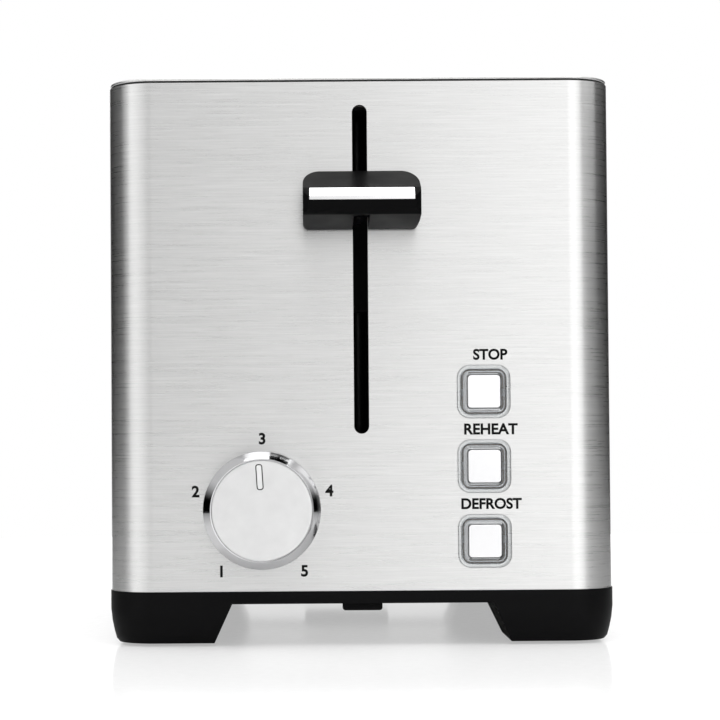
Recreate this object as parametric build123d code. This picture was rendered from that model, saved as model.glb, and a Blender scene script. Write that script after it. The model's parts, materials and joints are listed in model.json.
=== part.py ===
from build123d import *
import math
import os

# Two-slot pop-up toaster, long and narrow, with all its controls on one end.
# Units are millimetres.  +Z is up, the floor is z = 0, +X is to the right of someone facing the
# controls, and +Y runs from the control end to the rear.  The origin is the middle of the
# footprint of the whole toaster, lever and cord gland included.
# Places along the length are given as depths behind the face of the control end.

# ---------------------------------------------------------------- housing
BODY_WIDTH = 177.6
BODY_LENGTH = 266.0
BODY_HEIGHT = 199.0
CORNER_RADIUS = 16.0
SHELL_WALL = 0.6
SHELL_EDGE_ROLL = 0.4
SEAM_GAP = 0.3
SEAM_STRIP_WIDTH = 14.0
COVER_WALL = 1.0
COVER_INSET = 0.3
COVER_EDGE_ROUND = 0.7
GASKET_GAP = 0.7
GASKET_INSET = 0.6
GASKET_WIDTH = 3.0
GASKET_SKIRT_DROP = 4.0
GASKET_SKIRT_WALL = 1.2
SEAT_CLEARANCE = 0.1

# ---------------------------------------------------------------- base and feet
BASE_HEIGHT = 19.1
BASE_PROUD = 0.4
BASE_WALL = 2.5
PAD_PROUD = 1.0
ARCH_HEIGHT = 14.8
FOOT_WIDTH = 36.4
FOOT_LENGTH = 36.4
FOOT_SPLAY = 6.8
# Height above the foot's underside, and how far the wall has drawn in there.
FOOT_TUCK = ((11.6, 0.0), (7.5, 0.45), (3.9, 1.2), (1.2, 1.95), (0.0, 3.0))
LIP_RISE = 4.0
LIP_WALL = 1.6
LIP_CLEARANCE = 0.3
PAD_DIAMETER = 16.0
PAD_RECESS = 1.4
PAD_CLEARANCE = 0.1
PAD_INSET = 20.0
SCREW_DIAMETER = 3.0
SCREW_HEAD_DIAMETER = 6.5
SCREW_HEAD_HEIGHT = 2.0
SCREW_REACH = 7.0
SCREW_CLEARANCE = 0.1
BULKHEAD_SCREW_X = 50.0
RAIL_SCREW_INSET = 20.0

# ---------------------------------------------------------------- crumb tray
TRAY_HALF_WIDTH = 65.4
TRAY_WALL = 0.8
TRAY_DEPTH = 3.4
TRAY_GAP = 2.4
TRAY_CLEARANCE = 0.2
TRAY_SIDE_CLEARANCE = 0.6
LEDGE_WIDTH = 6.0
LEDGE_THICKNESS = 1.5
LEDGE_RISE = 0.15
TONGUE_WIDTH = 14.0
TONGUE_CLEARANCE = 1.0
TAB_DEPTH = 5.0
TAB_THICKNESS = 4.0
TAB_DROP = 3.2
TAB_ROUND = 1.0
TIE_LENGTH = 14.0
TIE_INSET = 6.0
HANDLE_THICKNESS = 3.0
GRIP_WIDTH = 40.0
GRIP_DROP = 6.0

# ---------------------------------------------------------------- ovens
OVEN_PITCH = 62.0
BREAD_SLOT_WIDTH = 34.0
BREAD_SLOT_LENGTH = 152.0
BREAD_SLOT_RADIUS = 7.0
THROAT_DROP = 11.0
THROAT_WALL = 0.8
FRONT_BULKHEAD_DEPTH = 54.0
REAR_ROOM = 38.0
BULKHEAD_WALL = 0.8
BULKHEAD_HALF_WIDTH = 72.0
BULKHEAD_FOOT_HALF = 60.0
BULKHEAD_HEADROOM = 9.0
FLANGE_LENGTH = 8.0
RAIL_WIDTH = 12.0
RAIL_HEIGHT = 12.0
RAIL_WALL = 0.8
RAIL_GAP = 0.2
TIE_BAR_HEIGHT = 12.0
REFLECTOR_OFFSET = 29.0
REFLECTOR_WALL = 0.5
REFLECTOR_FLANGE = 5.0
REFLECTOR_BOTTOM_Z = 24.0
REFLECTOR_HEADROOM = 13.0
MICA_OFFSET = 24.5
MICA_WALL = 0.8
MICA_BOTTOM_Z = 36.0
MICA_HEADROOM = 23.0
MICA_END_GAP = 3.7
MICA_TAB_HEIGHT = 8.0
MICA_TAB_REACH = 1.2
MICA_TAB_INSET = 22.0
MICA_TAB_CLEARANCE = 0.3
RIBBON_WIDTH = 1.5
RIBBON_THICKNESS = 0.3
RIBBON_GAP = 0.1
RIBBON_PITCH = 8.0
RIBBON_EDGE = 6.0
GUARD_OFFSET = 15.5
GUARD_PIVOT_Z = 30.0
GUARD_PIVOT_DIAMETER = 2.4
GUARD_WIRE = 1.6
GUARD_RIB_STANDOFF = 1.3
GUARD_HEADROOM = 18.0
GUARD_FLARE = 3.0
GUARD_FLARE_HEIGHT = 9.0
GUARD_END_GAP = 8.0
GUARD_UPRIGHTS = 10
GUARD_RIBS = 3
GUARD_PIN_REACH = 3.0
HINGE_CLEARANCE = 0.06

# ---------------------------------------------------------------- carriage and lever
PRESS_TRAVEL = 75.0
LIFT_TRAVEL = 22.0
LEVER_DROP = 43.8
LEVER_REACH = 27.0
LEVER_WIDTH = 40.0
LEVER_GAP = 2.5
# Lever section, as depth in front of the panel and height above the middle of the arm.
LEVER_ROOT_TOP = 10.3
LEVER_ROOT_BOTTOM = -10.2
LEVER_NOSE_TOP = 1.9
LEVER_NOSE_BOTTOM = -7.4
LEVER_NOSE_LENGTH = 3.2
LEVER_TOP_ROUND = 6.0
LEVER_BOTTOM_ROUND = 2.0
LEVER_END_CHAMFER = 1.8
LEVER_GROOVE_WIDTH = 5.4
LEVER_GROOVE_ROOF = 0.8
LEVER_NOSE_WALL = 3.0
TRIM_WIDTH = 35.8
TRIM_THICKNESS = 1.3
TRIM_BOTTOM = -2.6
SLOT_WIDTH = 5.2
SLOT_TOP_ROOM = 6.9
SLOT_BOTTOM_ROOM = 1.3
ARM_THICKNESS = 2.5
ARM_HEIGHT = 10.0
ARM_SOCKET = 11.0
ARM_KEY = 4.0
ROD_DIAMETER = 5.0
ROD_CLEARANCE = 0.06
ROD_DEPTH = 36.0
ROD_BOSS_DIAMETER = 10.0
ROD_BOSS_HEIGHT = 9.0
SLIDER_WIDTH = 16.0
SLIDER_FRONT = 8.0
SLIDER_BACK = 10.0
SLIDER_ABOVE_ARM = 6.0
SLIDER_BELOW_ARM = 32.0
SLIDER_ROUND = 1.5
CARRIAGE_RISE = 2.0
CARRIAGE_WALL = 1.2
CARRIAGE_BAR_HEIGHT = 16.0
CARRIAGE_END_MARGIN = 6.0
RACK_WALL = 1.2
RACK_BAR_HEIGHT = 8.0
RACK_DROP = 4.0
RACK_TAB_WIDTH = 12.0
RACK_FINGER = 2.0
RACK_FINGER_LENGTH = 18.0
RACK_FINGERS = 13
RACK_END_GAP = 11.0
RACK_TAIL = 4.0
RACK_SLOT_WIDTH = 4.0
RACK_SLOT_ROOM = 3.0
SPRING_X = 6.5
SPRING_DEPTH = 16.0
SPRING_DIAMETER = 6.0
SPRING_WIRE = 1.0
SPRING_TURNS = 26
SPRING_POST_DIAMETER = 3.0
SPRING_STEM = 3.0
SPRING_EYE_GAP = 0.3
SPRING_HOLE = 2.0
BRACKET_WALL = 1.2
BRACKET_WIDTH = 24.0
BRACKET_FLANGE = 10.0

# ---------------------------------------------------------------- magnet and contacts
MAGNET_X = 20.0
MAGNET_SETBACK = 2.0
MAGNET_CORE_DIAMETER = 8.0
MAGNET_COIL_DIAMETER = 18.0
MAGNET_COIL_CLEARANCE = 0.1
MAGNET_COIL_FLANGE = 1.5
MAGNET_COIL_FOOT_GAP = 0.5
MAGNET_COIL_TOP_GAP = 4.0
MAGNET_WINDING_INSET = 1.0
MAGNET_HALF_LENGTH = 7.0
MAGNET_PLATE = 1.6
MAGNET_LIMB_OFFSET = 10.4
MAGNET_LIMB_WALL = 1.6
MAGNET_GAP = 0.2
ARMATURE_THICKNESS = 2.5
ARMATURE_RISE = 1.0
CONTACT_X = -22.0
CONTACT_BLOCK_WIDTH = 20.0
CONTACT_BLOCK_LENGTH = 13.0
CONTACT_BLOCK_HEIGHT = 14.0
CONTACT_BLOCK_ROUND = 1.0
LEAF_WIDTH = 5.0
LEAF_THICKNESS = 0.5
LEAF_PITCH = 11.0
LEAF_HEIGHT = 18.0
LEAF_SETBACK = 3.0
LEAF_STEP = 4.0
LEAF_GAP = 2.5
PUSHER_WIDTH = 18.0
PUSHER_LENGTH = 7.0
PUSHER_HEIGHT = 15.0
PUSHER_DROP = 3.0

# ---------------------------------------------------------------- controls
DIAL_X = -34.8
DIAL_Z = 47.7
DIAL_DIAMETER = 40.6
DIAL_FACE_DIAMETER = 34.7
DIAL_REACH = 15.0
DIAL_GAP = 1.0
DIAL_SKIRT_WALL = 2.0
DIAL_FOOT_LENGTH = 2.0
DIAL_WEB = 1.5
DIAL_SEAT_CLEARANCE = 0.04
DIAL_FACE_THICKNESS = 1.6
DIAL_FACE_INSET = 0.4
DIAL_HUB_DIAMETER = 14.0
SHAFT_DIAMETER = 6.0
SHAFT_HOLE = 9.0
POINTER_WIDTH = 2.0
POINTER_LENGTH = 8.2
POINTER_INSET = 1.7
POINTER_DEPTH = 0.5
POINTER_TURN = 3.5
POT_SIZE = 16.0
POT_THICKNESS = 7.0
POT_ROUND = 1.5
POT_FLOOR = 2.0
SHAFT_SET_IN = 5.0
SHAFT_END_GAP = 2.5
CONTROL_BOARD_SETBACK = 11.6
BUTTON_BOARD_DEPTH = 17.0
BOARD_WALL = 1.6
BOARD_TOP_Z = 102.0
BOARD_BOTTOM_GAP = 0.9
CONTROL_BOARD_X = (-62.0, -14.0)
BUTTON_BOARD_X = (22.0, 64.0)
BOARD_POST_DIAMETER = 5.0
BOARD_POST_INSET = 4.0
BOARD_SCREW_DIAMETER = 2.0
BOARD_SCREW_HEAD = 4.4
BOARD_SCREW_HEAD_HEIGHT = 1.6
BOARD_SCREW_REACH = 8.0
FRAME_WALL = 2.0
FRAME_ROUND = 3.0
# Parts on the back of the control board, as (x0, x1, z0, z1, height); the capacitor is a can.
RELAY = (-58.0, -42.0, 70.0, 90.0, 11.0)
CHIP = (-36.0, -28.0, 74.0, 92.0, 2.5)
REGULATOR = (-34.0, -24.0, 52.0, 66.0, 4.5)
CAPACITOR_X = -48.0
CAPACITOR_Z = 55.0
CAPACITOR_DIAMETER = 10.0
CAPACITOR_HEIGHT = 14.0
BUTTON_X = 42.7
BUTTON_TOP_Z = 88.3
BUTTON_PITCH = 26.05
BUTTON_SIZE = 11.4
BUTTON_RADIUS = 1.2
BUTTON_PROUD = 1.6
BUTTON_TRAVEL = 1.5
BUTTON_CLEARANCE = 0.25
BUTTON_FLANGE = 13.4
BUTTON_FLANGE_DEPTH = 5.0
BUTTON_FLANGE_WALL = 2.0
BUTTON_STOP_GAP = 0.1
STEM_DIAMETER = 3.5
STEM_CLEARANCE = 0.1
STEM_TIP_DEPTH = 14.5
STEM_END_GAP = 0.3
RING_SIZE = 18.7
RING_RADIUS = 4.5
RING_PROUD = 1.2
RING_NECK = 16.2
RING_NECK_RADIUS = 3.4
RING_NECK_LENGTH = 9.0
RING_CLEARANCE = 0.2
SWITCH_SIZE = 6.2
SWITCH_HEIGHT = 3.8
LED_SIZE = 2.6
LED_HEIGHT = 2.0
CABLE_WALL = 0.8
CABLE_WIDTH = 8.0
CABLE_Z = 37.0
CABLE_GAP = 1.0
CABLE_INSET = 12.0

# ---------------------------------------------------------------- supply
GLAND_X = -62.0
GLAND_Z = 36.0
GLAND_BORE = 6.6
GLAND_NECK = 12.0
GLAND_FLANGE = 17.0
GLAND_FLANGE_WALL = 2.5
GLAND_REACH = 8.0
GLAND_TIP = 10.0
GLAND_INSIDE = 6.0
GLAND_CLEARANCE = 0.1
GLAND_NUT_WALL = 3.0
WIRE_DIAMETER = 2.2
WIRE_SPREAD = 3.2
WIRE_BEND = 5.0
WIRE_RISE = 8.0
WIRE_INSET = 15.0
WIRE_END_GAP = 1.0
WIRE_STRAIGHT = 12.0
WIRE_TURN = 26.0

# ---------------------------------------------------------------- worked out
Y_FRONT = LEVER_REACH - (LEVER_REACH + BODY_LENGTH + GLAND_REACH) / 2
HALF_WIDTH = BODY_WIDTH / 2
BOARD_BOTTOM_Z = BASE_HEIGHT + LIP_RISE + BOARD_BOTTOM_GAP
COVER_BOTTOM_Z = BODY_HEIGHT - COVER_WALL
SHELL_TOP_Z = COVER_BOTTOM_Z - GASKET_GAP
SHELL_MIDDLE_Y = Y_FRONT + BODY_LENGTH / 2
DECK_Z = ARCH_HEIGHT + BASE_WALL
REAR_BULKHEAD_DEPTH = BODY_LENGTH - REAR_ROOM
OVEN_FRONT = FRONT_BULKHEAD_DEPTH + BULKHEAD_WALL
OVEN_REAR = REAR_BULKHEAD_DEPTH - BULKHEAD_WALL
OVEN_MIDDLE = (OVEN_FRONT + OVEN_REAR) / 2
BULKHEAD_TOP_Z = BODY_HEIGHT - BULKHEAD_HEADROOM
LEDGE_TOP_Z = ARCH_HEIGHT + LEDGE_RISE
TRAY_Z = LEDGE_TOP_Z + TRAY_CLEARANCE
TRAY_FRONT = FRONT_BULKHEAD_DEPTH + TRAY_GAP
CORRIDOR_HALF = TRAY_HALF_WIDTH + TRAY_SIDE_CLEARANCE
TIE_REAR = BODY_LENGTH - TIE_INSET
TIE_FRONT = TIE_REAR - TIE_LENGTH
ARM_Z = BODY_HEIGHT - LEVER_DROP
SLIDER_TOP_Z = ARM_Z + SLIDER_ABOVE_ARM + ARM_HEIGHT / 2
SLIDER_BOTTOM_Z = ARM_Z - SLIDER_BELOW_ARM - ARM_HEIGHT / 2
SLIDER_FRONT_DEPTH = ROD_DEPTH - SLIDER_FRONT
SLIDER_BACK_DEPTH = ROD_DEPTH + SLIDER_BACK
CARRIAGE_BOTTOM_Z = SLIDER_BOTTOM_Z + CARRIAGE_RISE
CARRIAGE_TOP_Z = CARRIAGE_BOTTOM_Z + CARRIAGE_BAR_HEIGHT
RACK_BOTTOM_Z = CARRIAGE_BOTTOM_Z - RACK_DROP
RACK_TOP_Z = RACK_BOTTOM_Z + RACK_BAR_HEIGHT
RACK_DEPTH = SLIDER_BACK_DEPTH + CARRIAGE_WALL
ARMATURE_Z = CARRIAGE_BOTTOM_Z + ARMATURE_RISE
MAGNET_TOP_Z = ARMATURE_Z - PRESS_TRAVEL - MAGNET_GAP
SPRING_POST_Z = SLIDER_BOTTOM_Z + SPRING_POST_DIAMETER
BRACKET_Z = BULKHEAD_TOP_Z - BRACKET_WALL
CONTROL_BOARD_DEPTH = ROD_DEPTH - CONTROL_BOARD_SETBACK
CABLE_DEPTH = CONTROL_BOARD_DEPTH + BOARD_WALL + CABLE_GAP
MAGNET_DEPTH = ROD_DEPTH + MAGNET_SETBACK
BUTTON_HEIGHTS = [BUTTON_TOP_Z - n * BUTTON_PITCH for n in range(3)]


# ---------------------------------------------------------------- helpers
def block(x0, x1, depth0, depth1, z0, z1):
    """Box between two sides, two depths and two heights."""
    middle = Pos((x0 + x1) / 2, Y_FRONT + (depth0 + depth1) / 2, (z0 + z1) / 2)
    return middle * Box(abs(x1 - x0), abs(depth1 - depth0), abs(z1 - z0))


def rod_across(x0, x1, depth, z, diameter):
    """Round bar along X."""
    middle = Pos((x0 + x1) / 2, Y_FRONT + depth, z)
    return middle * Rot(0, 90, 0) * Cylinder(diameter / 2, abs(x1 - x0))


def rod_along(x, depth0, depth1, z, diameter):
    """Round bar along Y."""
    middle = Pos(x, Y_FRONT + (depth0 + depth1) / 2, z)
    return middle * Rot(90, 0, 0) * Cylinder(diameter / 2, abs(depth1 - depth0))


def rod_up(x, depth, z0, z1, diameter):
    """Round bar along Z."""
    return Pos(x, Y_FRONT + depth, (z0 + z1) / 2) * Cylinder(diameter / 2, abs(z1 - z0))


def footprint(inset, z0, z1):
    """Rounded block on the body's plan outline, drawn in by inset."""
    outline = RectangleRounded(BODY_WIDTH - 2 * inset, BODY_LENGTH - 2 * inset, CORNER_RADIUS - inset)
    return Pos(0, SHELL_MIDDLE_Y, z0) * extrude(outline, amount=z1 - z0)


def square_through(x, z, size, radius, depth0, depth1):
    """Rounded square bar along Y."""
    plane = Plane(origin=(x, Y_FRONT + depth1, z), z_dir=(0, -1, 0), x_dir=(1, 0, 0))
    return extrude(plane * RectangleRounded(size, size, radius), amount=depth1 - depth0)


def section_across(points, width):
    """Solid from (depth, z) points, width wide and centred on x = 0."""
    outline = Polygon(*[(Y_FRONT + depth, z) for depth, z in points], align=None)
    return extrude(Plane.YZ * outline, amount=width / 2, both=True)


def screw(x, depth, z, direction, diameter, head, head_height, reach):
    """Pan-head screw whose head seats at the point given and whose shank runs along direction."""
    shank = Pos(0, 0, reach / 2) * Cylinder(diameter / 2, reach)
    top = Pos(0, 0, -head_height / 2) * Cylinder(head / 2, head_height)
    top = fillet(top.edges().group_by(Axis.Z)[0], head_height * 0.4)
    slot = Pos(0, 0, -head_height) * Box(head * 0.7, head * 0.14, head_height)
    cross = Pos(0, 0, -head_height) * Box(head * 0.14, head * 0.7, head_height)
    plane = Plane(origin=(x, Y_FRONT + depth, z), z_dir=direction)
    return plane.location * (top + shank - slot - cross)


def mirrored(solid):
    """The same solid on the other side of x = 0."""
    return mirror(solid, about=Plane.YZ)


# ---------------------------------------------------------------- housing
def outer_shell():
    """Brushed steel wrap, open at top and bottom, joined down the middle of the rear."""
    outside = footprint(0, BASE_HEIGHT, SHELL_TOP_Z)
    outside = fillet(outside.edges().group_by(Axis.Z)[-1], SHELL_EDGE_ROLL)
    shell = outside - footprint(SHELL_WALL, BASE_HEIGHT, SHELL_TOP_Z)
    top = ARM_Z + ARM_HEIGHT / 2 + LIFT_TRAVEL + SLOT_TOP_ROOM
    bottom = ARM_Z - ARM_HEIGHT / 2 - PRESS_TRAVEL - SLOT_BOTTOM_ROOM
    end = SLOT_WIDTH / 2
    shell -= block(-end, end, -1, SHELL_WALL + 1, bottom + end, top - end)
    for z in (bottom + end, top - end):
        shell -= rod_along(0, -1, SHELL_WALL + 1, z, SLOT_WIDTH)
    shell -= rod_along(DIAL_X, -1, SHELL_WALL + 1, DIAL_Z, SHAFT_HOLE)
    opening = RING_NECK + 2 * RING_CLEARANCE
    for z in BUTTON_HEIGHTS:
        radius = RING_NECK_RADIUS + RING_CLEARANCE
        shell -= square_through(BUTTON_X, z, opening, radius, -1, SHELL_WALL + 1)
    hole = GLAND_NECK + 2 * GLAND_CLEARANCE
    shell -= rod_along(GLAND_X, BODY_LENGTH - SHELL_WALL - 1, BODY_LENGTH + 1, GLAND_Z, hole)
    seam = SEAM_GAP / 2
    rear = BODY_LENGTH
    return shell - block(-seam, seam, rear - 3, rear + 1, BASE_HEIGHT - 1, SHELL_TOP_Z + 1)


def seam_strip():
    """Steel strip behind the rear seam."""
    inside = BODY_LENGTH - SHELL_WALL
    half = SEAM_STRIP_WIDTH / 2
    top = SHELL_TOP_Z - GASKET_SKIRT_DROP - 1
    return block(-half, half, inside - SHELL_WALL, inside, BASE_HEIGHT + 0.5, top)


def bread_slot(side, grow, z0, z1):
    """Rounded bar through one bread opening; side is -1 for left and 1 for right."""
    width = BREAD_SLOT_WIDTH + 2 * grow
    length = BREAD_SLOT_LENGTH + 2 * grow
    outline = RectangleRounded(width, length, BREAD_SLOT_RADIUS + grow)
    place = Pos(side * OVEN_PITCH / 2, Y_FRONT + OVEN_MIDDLE, z0)
    return place * extrude(outline, amount=z1 - z0)


def top_cover():
    """Steel top with two bread openings, each with a throat turned down into the oven."""
    cover = footprint(COVER_INSET, COVER_BOTTOM_Z, BODY_HEIGHT)
    cover = fillet(cover.edges().group_by(Axis.Z)[-1], COVER_EDGE_ROUND)
    for side in (-1, 1):
        cover += bread_slot(side, THROAT_WALL, COVER_BOTTOM_Z - THROAT_DROP, COVER_BOTTOM_Z)
    for side in (-1, 1):
        cover -= bread_slot(side, 0, COVER_BOTTOM_Z - THROAT_DROP - 1, BODY_HEIGHT + 1)
    return cover


def top_gasket():
    """Black seal between shell and cover, with a skirt that locates inside the shell."""
    band = footprint(GASKET_INSET, SHELL_TOP_Z, COVER_BOTTOM_Z)
    band -= footprint(GASKET_INSET + GASKET_WIDTH, SHELL_TOP_Z, COVER_BOTTOM_Z)
    skirt_inset = SHELL_WALL + SEAT_CLEARANCE
    bottom = SHELL_TOP_Z - GASKET_SKIRT_DROP
    skirt = footprint(skirt_inset, bottom, SHELL_TOP_Z)
    return band + (skirt - footprint(skirt_inset + GASKET_SKIRT_WALL, bottom, SHELL_TOP_Z))


# ---------------------------------------------------------------- base
def arch(half_floor, z1, along_x):
    """Bar with sloping sides that opens the base between a pair of feet."""
    slope = FOOT_SPLAY / ARCH_HEIGHT
    outline = Polygon(
        (-half_floor - slope, -1),
        (half_floor + slope, -1),
        (half_floor - slope * z1, z1),
        (-half_floor + slope * z1, z1),
        align=None,
    )
    plane = Plane.YZ if along_x else Plane.XZ
    place = Pos(0, SHELL_MIDDLE_Y, 0)
    return place * extrude(plane * outline, amount=BODY_WIDTH + BODY_LENGTH, both=True)


def arches(grow):
    """Both bars, each side moved out by grow and the top raised by grow."""
    half_x = HALF_WIDTH - FOOT_WIDTH + grow
    half_y = BODY_LENGTH / 2 - FOOT_LENGTH + grow
    return [arch(half_x, ARCH_HEIGHT + grow, False), arch(half_y, ARCH_HEIGHT + grow, True)]


def base_outline():
    """Base block: straight above, drawn in towards the underside of the feet."""
    sections = []
    for rise, tuck in FOOT_TUCK:
        grow = BASE_PROUD - tuck
        outline = RectangleRounded(BODY_WIDTH + 2 * grow, BODY_LENGTH + 2 * grow, CORNER_RADIUS + grow)
        sections.append(Pos(0, SHELL_MIDDLE_Y, PAD_PROUD + rise) * outline)
    lower = loft(sections, ruled=True)
    return lower + footprint(-BASE_PROUD, PAD_PROUD + FOOT_TUCK[0][0], BASE_HEIGHT)


def pad_places():
    """Centres of the four rubber pads, as (x, depth)."""
    x = HALF_WIDTH - PAD_INSET
    return [(side * x, depth) for side in (-1, 1) for depth in (PAD_INSET, BODY_LENGTH - PAD_INSET)]


def deck_screw_places():
    """Screws up through the base: two at the front bulkhead and two on each rail, as (x, depth)."""
    front = [(side * BULKHEAD_SCREW_X, FRONT_BULKHEAD_DEPTH - FLANGE_LENGTH / 2) for side in (-1, 1)]
    rail = CORRIDOR_HALF + BASE_WALL + RAIL_WIDTH / 2 + 1
    depths = (OVEN_FRONT + RAIL_SCREW_INSET, OVEN_REAR - RAIL_SCREW_INSET)
    return front + [(side * rail, depth) for side in (-1, 1) for depth in depths]


def base_frame():
    """Black base: skirt, four hollow feet, deck, tray ledges and the tie between the rear feet."""
    base = base_outline()
    for bar in arches(0):
        base -= bar
    hollow = footprint(BASE_WALL - BASE_PROUD + FOOT_TUCK[-1][1], PAD_PROUD + BASE_WALL, DECK_Z)
    for bar in arches(BASE_WALL):
        hollow -= bar
    hollow += footprint(BASE_WALL - BASE_PROUD, DECK_Z, BASE_HEIGHT)
    base -= hollow
    lip_inset = SHELL_WALL + LIP_CLEARANCE
    base += footprint(lip_inset, DECK_Z, BASE_HEIGHT + LIP_RISE) - footprint(
        lip_inset + LIP_WALL, DECK_Z, BASE_HEIGHT + LIP_RISE
    )
    opening_front = TRAY_FRONT - TONGUE_CLEARANCE
    beyond = BODY_LENGTH + 5
    web = CORRIDOR_HALF + BASE_WALL
    ledge = CORRIDOR_HALF - LEDGE_WIDTH
    under = LEDGE_TOP_Z - LEDGE_THICKNESS
    over = BASE_HEIGHT + LIP_RISE + 1
    for side in (-1, 1):
        base += block(side * CORRIDOR_HALF, side * web, opening_front, TIE_REAR, under, DECK_Z)
    base -= block(-CORRIDOR_HALF, CORRIDOR_HALF, opening_front, beyond, LEDGE_TOP_Z, over)
    base -= block(-ledge, ledge, opening_front, beyond, ARCH_HEIGHT - 0.1, LEDGE_TOP_Z)
    for side in (-1, 1):
        base += block(side * ledge, side * web, opening_front, TIE_REAR, under, LEDGE_TOP_Z)
    base += block(-ledge, ledge, TIE_FRONT, TIE_REAR, under, LEDGE_TOP_Z)
    groove = TONGUE_WIDTH / 2 + TONGUE_CLEARANCE
    groove_top = TRAY_Z + TRAY_WALL + TRAY_CLEARANCE
    base -= block(-groove, groove, BASE_WALL + 1, opening_front + 1, ARCH_HEIGHT - 1, groove_top)
    base += rod_up(0, ROD_DEPTH, DECK_Z, DECK_Z + ROD_BOSS_HEIGHT, ROD_BOSS_DIAMETER)
    socket = ROD_DIAMETER + 2 * SEAT_CLEARANCE
    base -= rod_up(0, ROD_DEPTH, DECK_Z, DECK_Z + ROD_BOSS_HEIGHT + 1, socket)
    for x, depth in pad_places():
        base -= rod_up(x, depth, 0, PAD_PROUD + PAD_RECESS, PAD_DIAMETER + 2 * PAD_CLEARANCE)
    for x, depth in deck_screw_places():
        base -= rod_up(x, depth, ARCH_HEIGHT - 1, DECK_Z + 1, SCREW_DIAMETER + 2 * SCREW_CLEARANCE)
    return base


def foot_pads():
    """Four rubber discs seated in the undersides of the feet."""
    pads = []
    for x, depth in pad_places():
        pad = rod_up(x, depth, 0, PAD_PROUD + PAD_RECESS, PAD_DIAMETER)
        pads.append(fillet(pad.edges().group_by(Axis.Z)[0], PAD_PROUD * 0.5))
    return Compound(children=pads)


def base_screws():
    """Screws that hold the bulkhead and rails down on the deck, heads underneath."""
    sizes = (SCREW_DIAMETER, SCREW_HEAD_DIAMETER, SCREW_HEAD_HEIGHT, SCREW_REACH)
    places = deck_screw_places()
    return Compound(children=[screw(x, depth, ARCH_HEIGHT, (0, 0, 1), *sizes) for x, depth in places])


# ---------------------------------------------------------------- crumb tray
def crumb_tray():
    """Shallow sheet tray on the base's ledges, with a tongue that reaches to the control end."""
    rear = BODY_LENGTH + BASE_PROUD - HANDLE_THICKNESS
    half = TRAY_HALF_WIDTH
    inside = half - TRAY_WALL
    front = TRAY_FRONT + TRAY_WALL
    floor = TRAY_Z + TRAY_WALL
    tray = block(-half, half, TRAY_FRONT, rear, TRAY_Z, TRAY_Z + TRAY_DEPTH)
    tray -= block(-inside, inside, front, rear - TRAY_WALL, floor, BASE_HEIGHT)
    tongue = TONGUE_WIDTH / 2
    return tray + block(-tongue, tongue, TAB_DEPTH, TRAY_FRONT + 1, TRAY_Z, floor)


def push_tab():
    """Black tab under the front of the tray's tongue, pushed to slide the tray out."""
    tongue = TONGUE_WIDTH / 2
    tab = block(-tongue, tongue, TAB_DEPTH, TAB_DEPTH + TAB_THICKNESS, TRAY_Z - TAB_DROP, TRAY_Z)
    return fillet(tab.edges().filter_by(Axis.Y).group_by(Axis.Z)[0], TAB_ROUND)


def tray_handle():
    """Black panel that closes the tray's way out at the rear, with a grip below it."""
    rear = BODY_LENGTH + BASE_PROUD
    front = rear - HANDLE_THICKNESS
    half = TRAY_HALF_WIDTH
    panel = block(-half, half, front, rear, TRAY_Z, BASE_HEIGHT - TRAY_CLEARANCE)
    grip = block(-GRIP_WIDTH / 2, GRIP_WIDTH / 2, front, rear, TRAY_Z - GRIP_DROP, TRAY_Z)
    grip = fillet(grip.edges().filter_by(Axis.Y).group_by(Axis.Z)[0], GRIP_DROP * 0.4)
    return panel + grip


# ---------------------------------------------------------------- chassis
def mica_tabs(x, grow):
    """Four tabs that carry a mica board in the bulkheads, or the slits for them."""
    tabs = []
    half = MICA_WALL / 2 + grow
    top = BODY_HEIGHT - MICA_HEADROOM
    near = OVEN_FRONT + MICA_END_GAP + 1
    far = OVEN_REAR - MICA_END_GAP - 1
    for middle in (MICA_BOTTOM_Z + MICA_TAB_INSET, top - MICA_TAB_INSET):
        low = middle - MICA_TAB_HEIGHT / 2 - grow
        high = middle + MICA_TAB_HEIGHT / 2 + grow
        reach = MICA_TAB_REACH + grow
        tabs.append(block(x - half, x + half, FRONT_BULKHEAD_DEPTH - reach, near, low, high))
        tabs.append(block(x - half, x + half, far, REAR_BULKHEAD_DEPTH + reach, low, high))
    return tabs


def mica_places(side):
    """X of the two boards of one oven."""
    middle = side * OVEN_PITCH / 2
    return (middle - MICA_OFFSET, middle + MICA_OFFSET)


def pierced(plate):
    """A bulkhead plate with its openings for racks, guard pivots and mica tabs."""
    start = FRONT_BULKHEAD_DEPTH - 1
    end = REAR_BULKHEAD_DEPTH + 1
    hole = GUARD_PIVOT_DIAMETER + 2 * HINGE_CLEARANCE
    half = RACK_SLOT_WIDTH / 2
    for side in (-1, 1):
        middle = side * OVEN_PITCH / 2
        low = RACK_BOTTOM_Z - PRESS_TRAVEL - RACK_SLOT_ROOM
        high = RACK_TOP_Z + LIFT_TRAVEL + RACK_SLOT_ROOM
        plate -= block(middle - half, middle + half, start, end, low, high)
        for offset in (-GUARD_OFFSET, GUARD_OFFSET):
            plate -= rod_along(middle + offset, start, end, GUARD_PIVOT_Z, hole)
        for x in mica_places(side):
            for slit in mica_tabs(x, MICA_TAB_CLEARANCE):
                plate -= slit
    return plate


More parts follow.
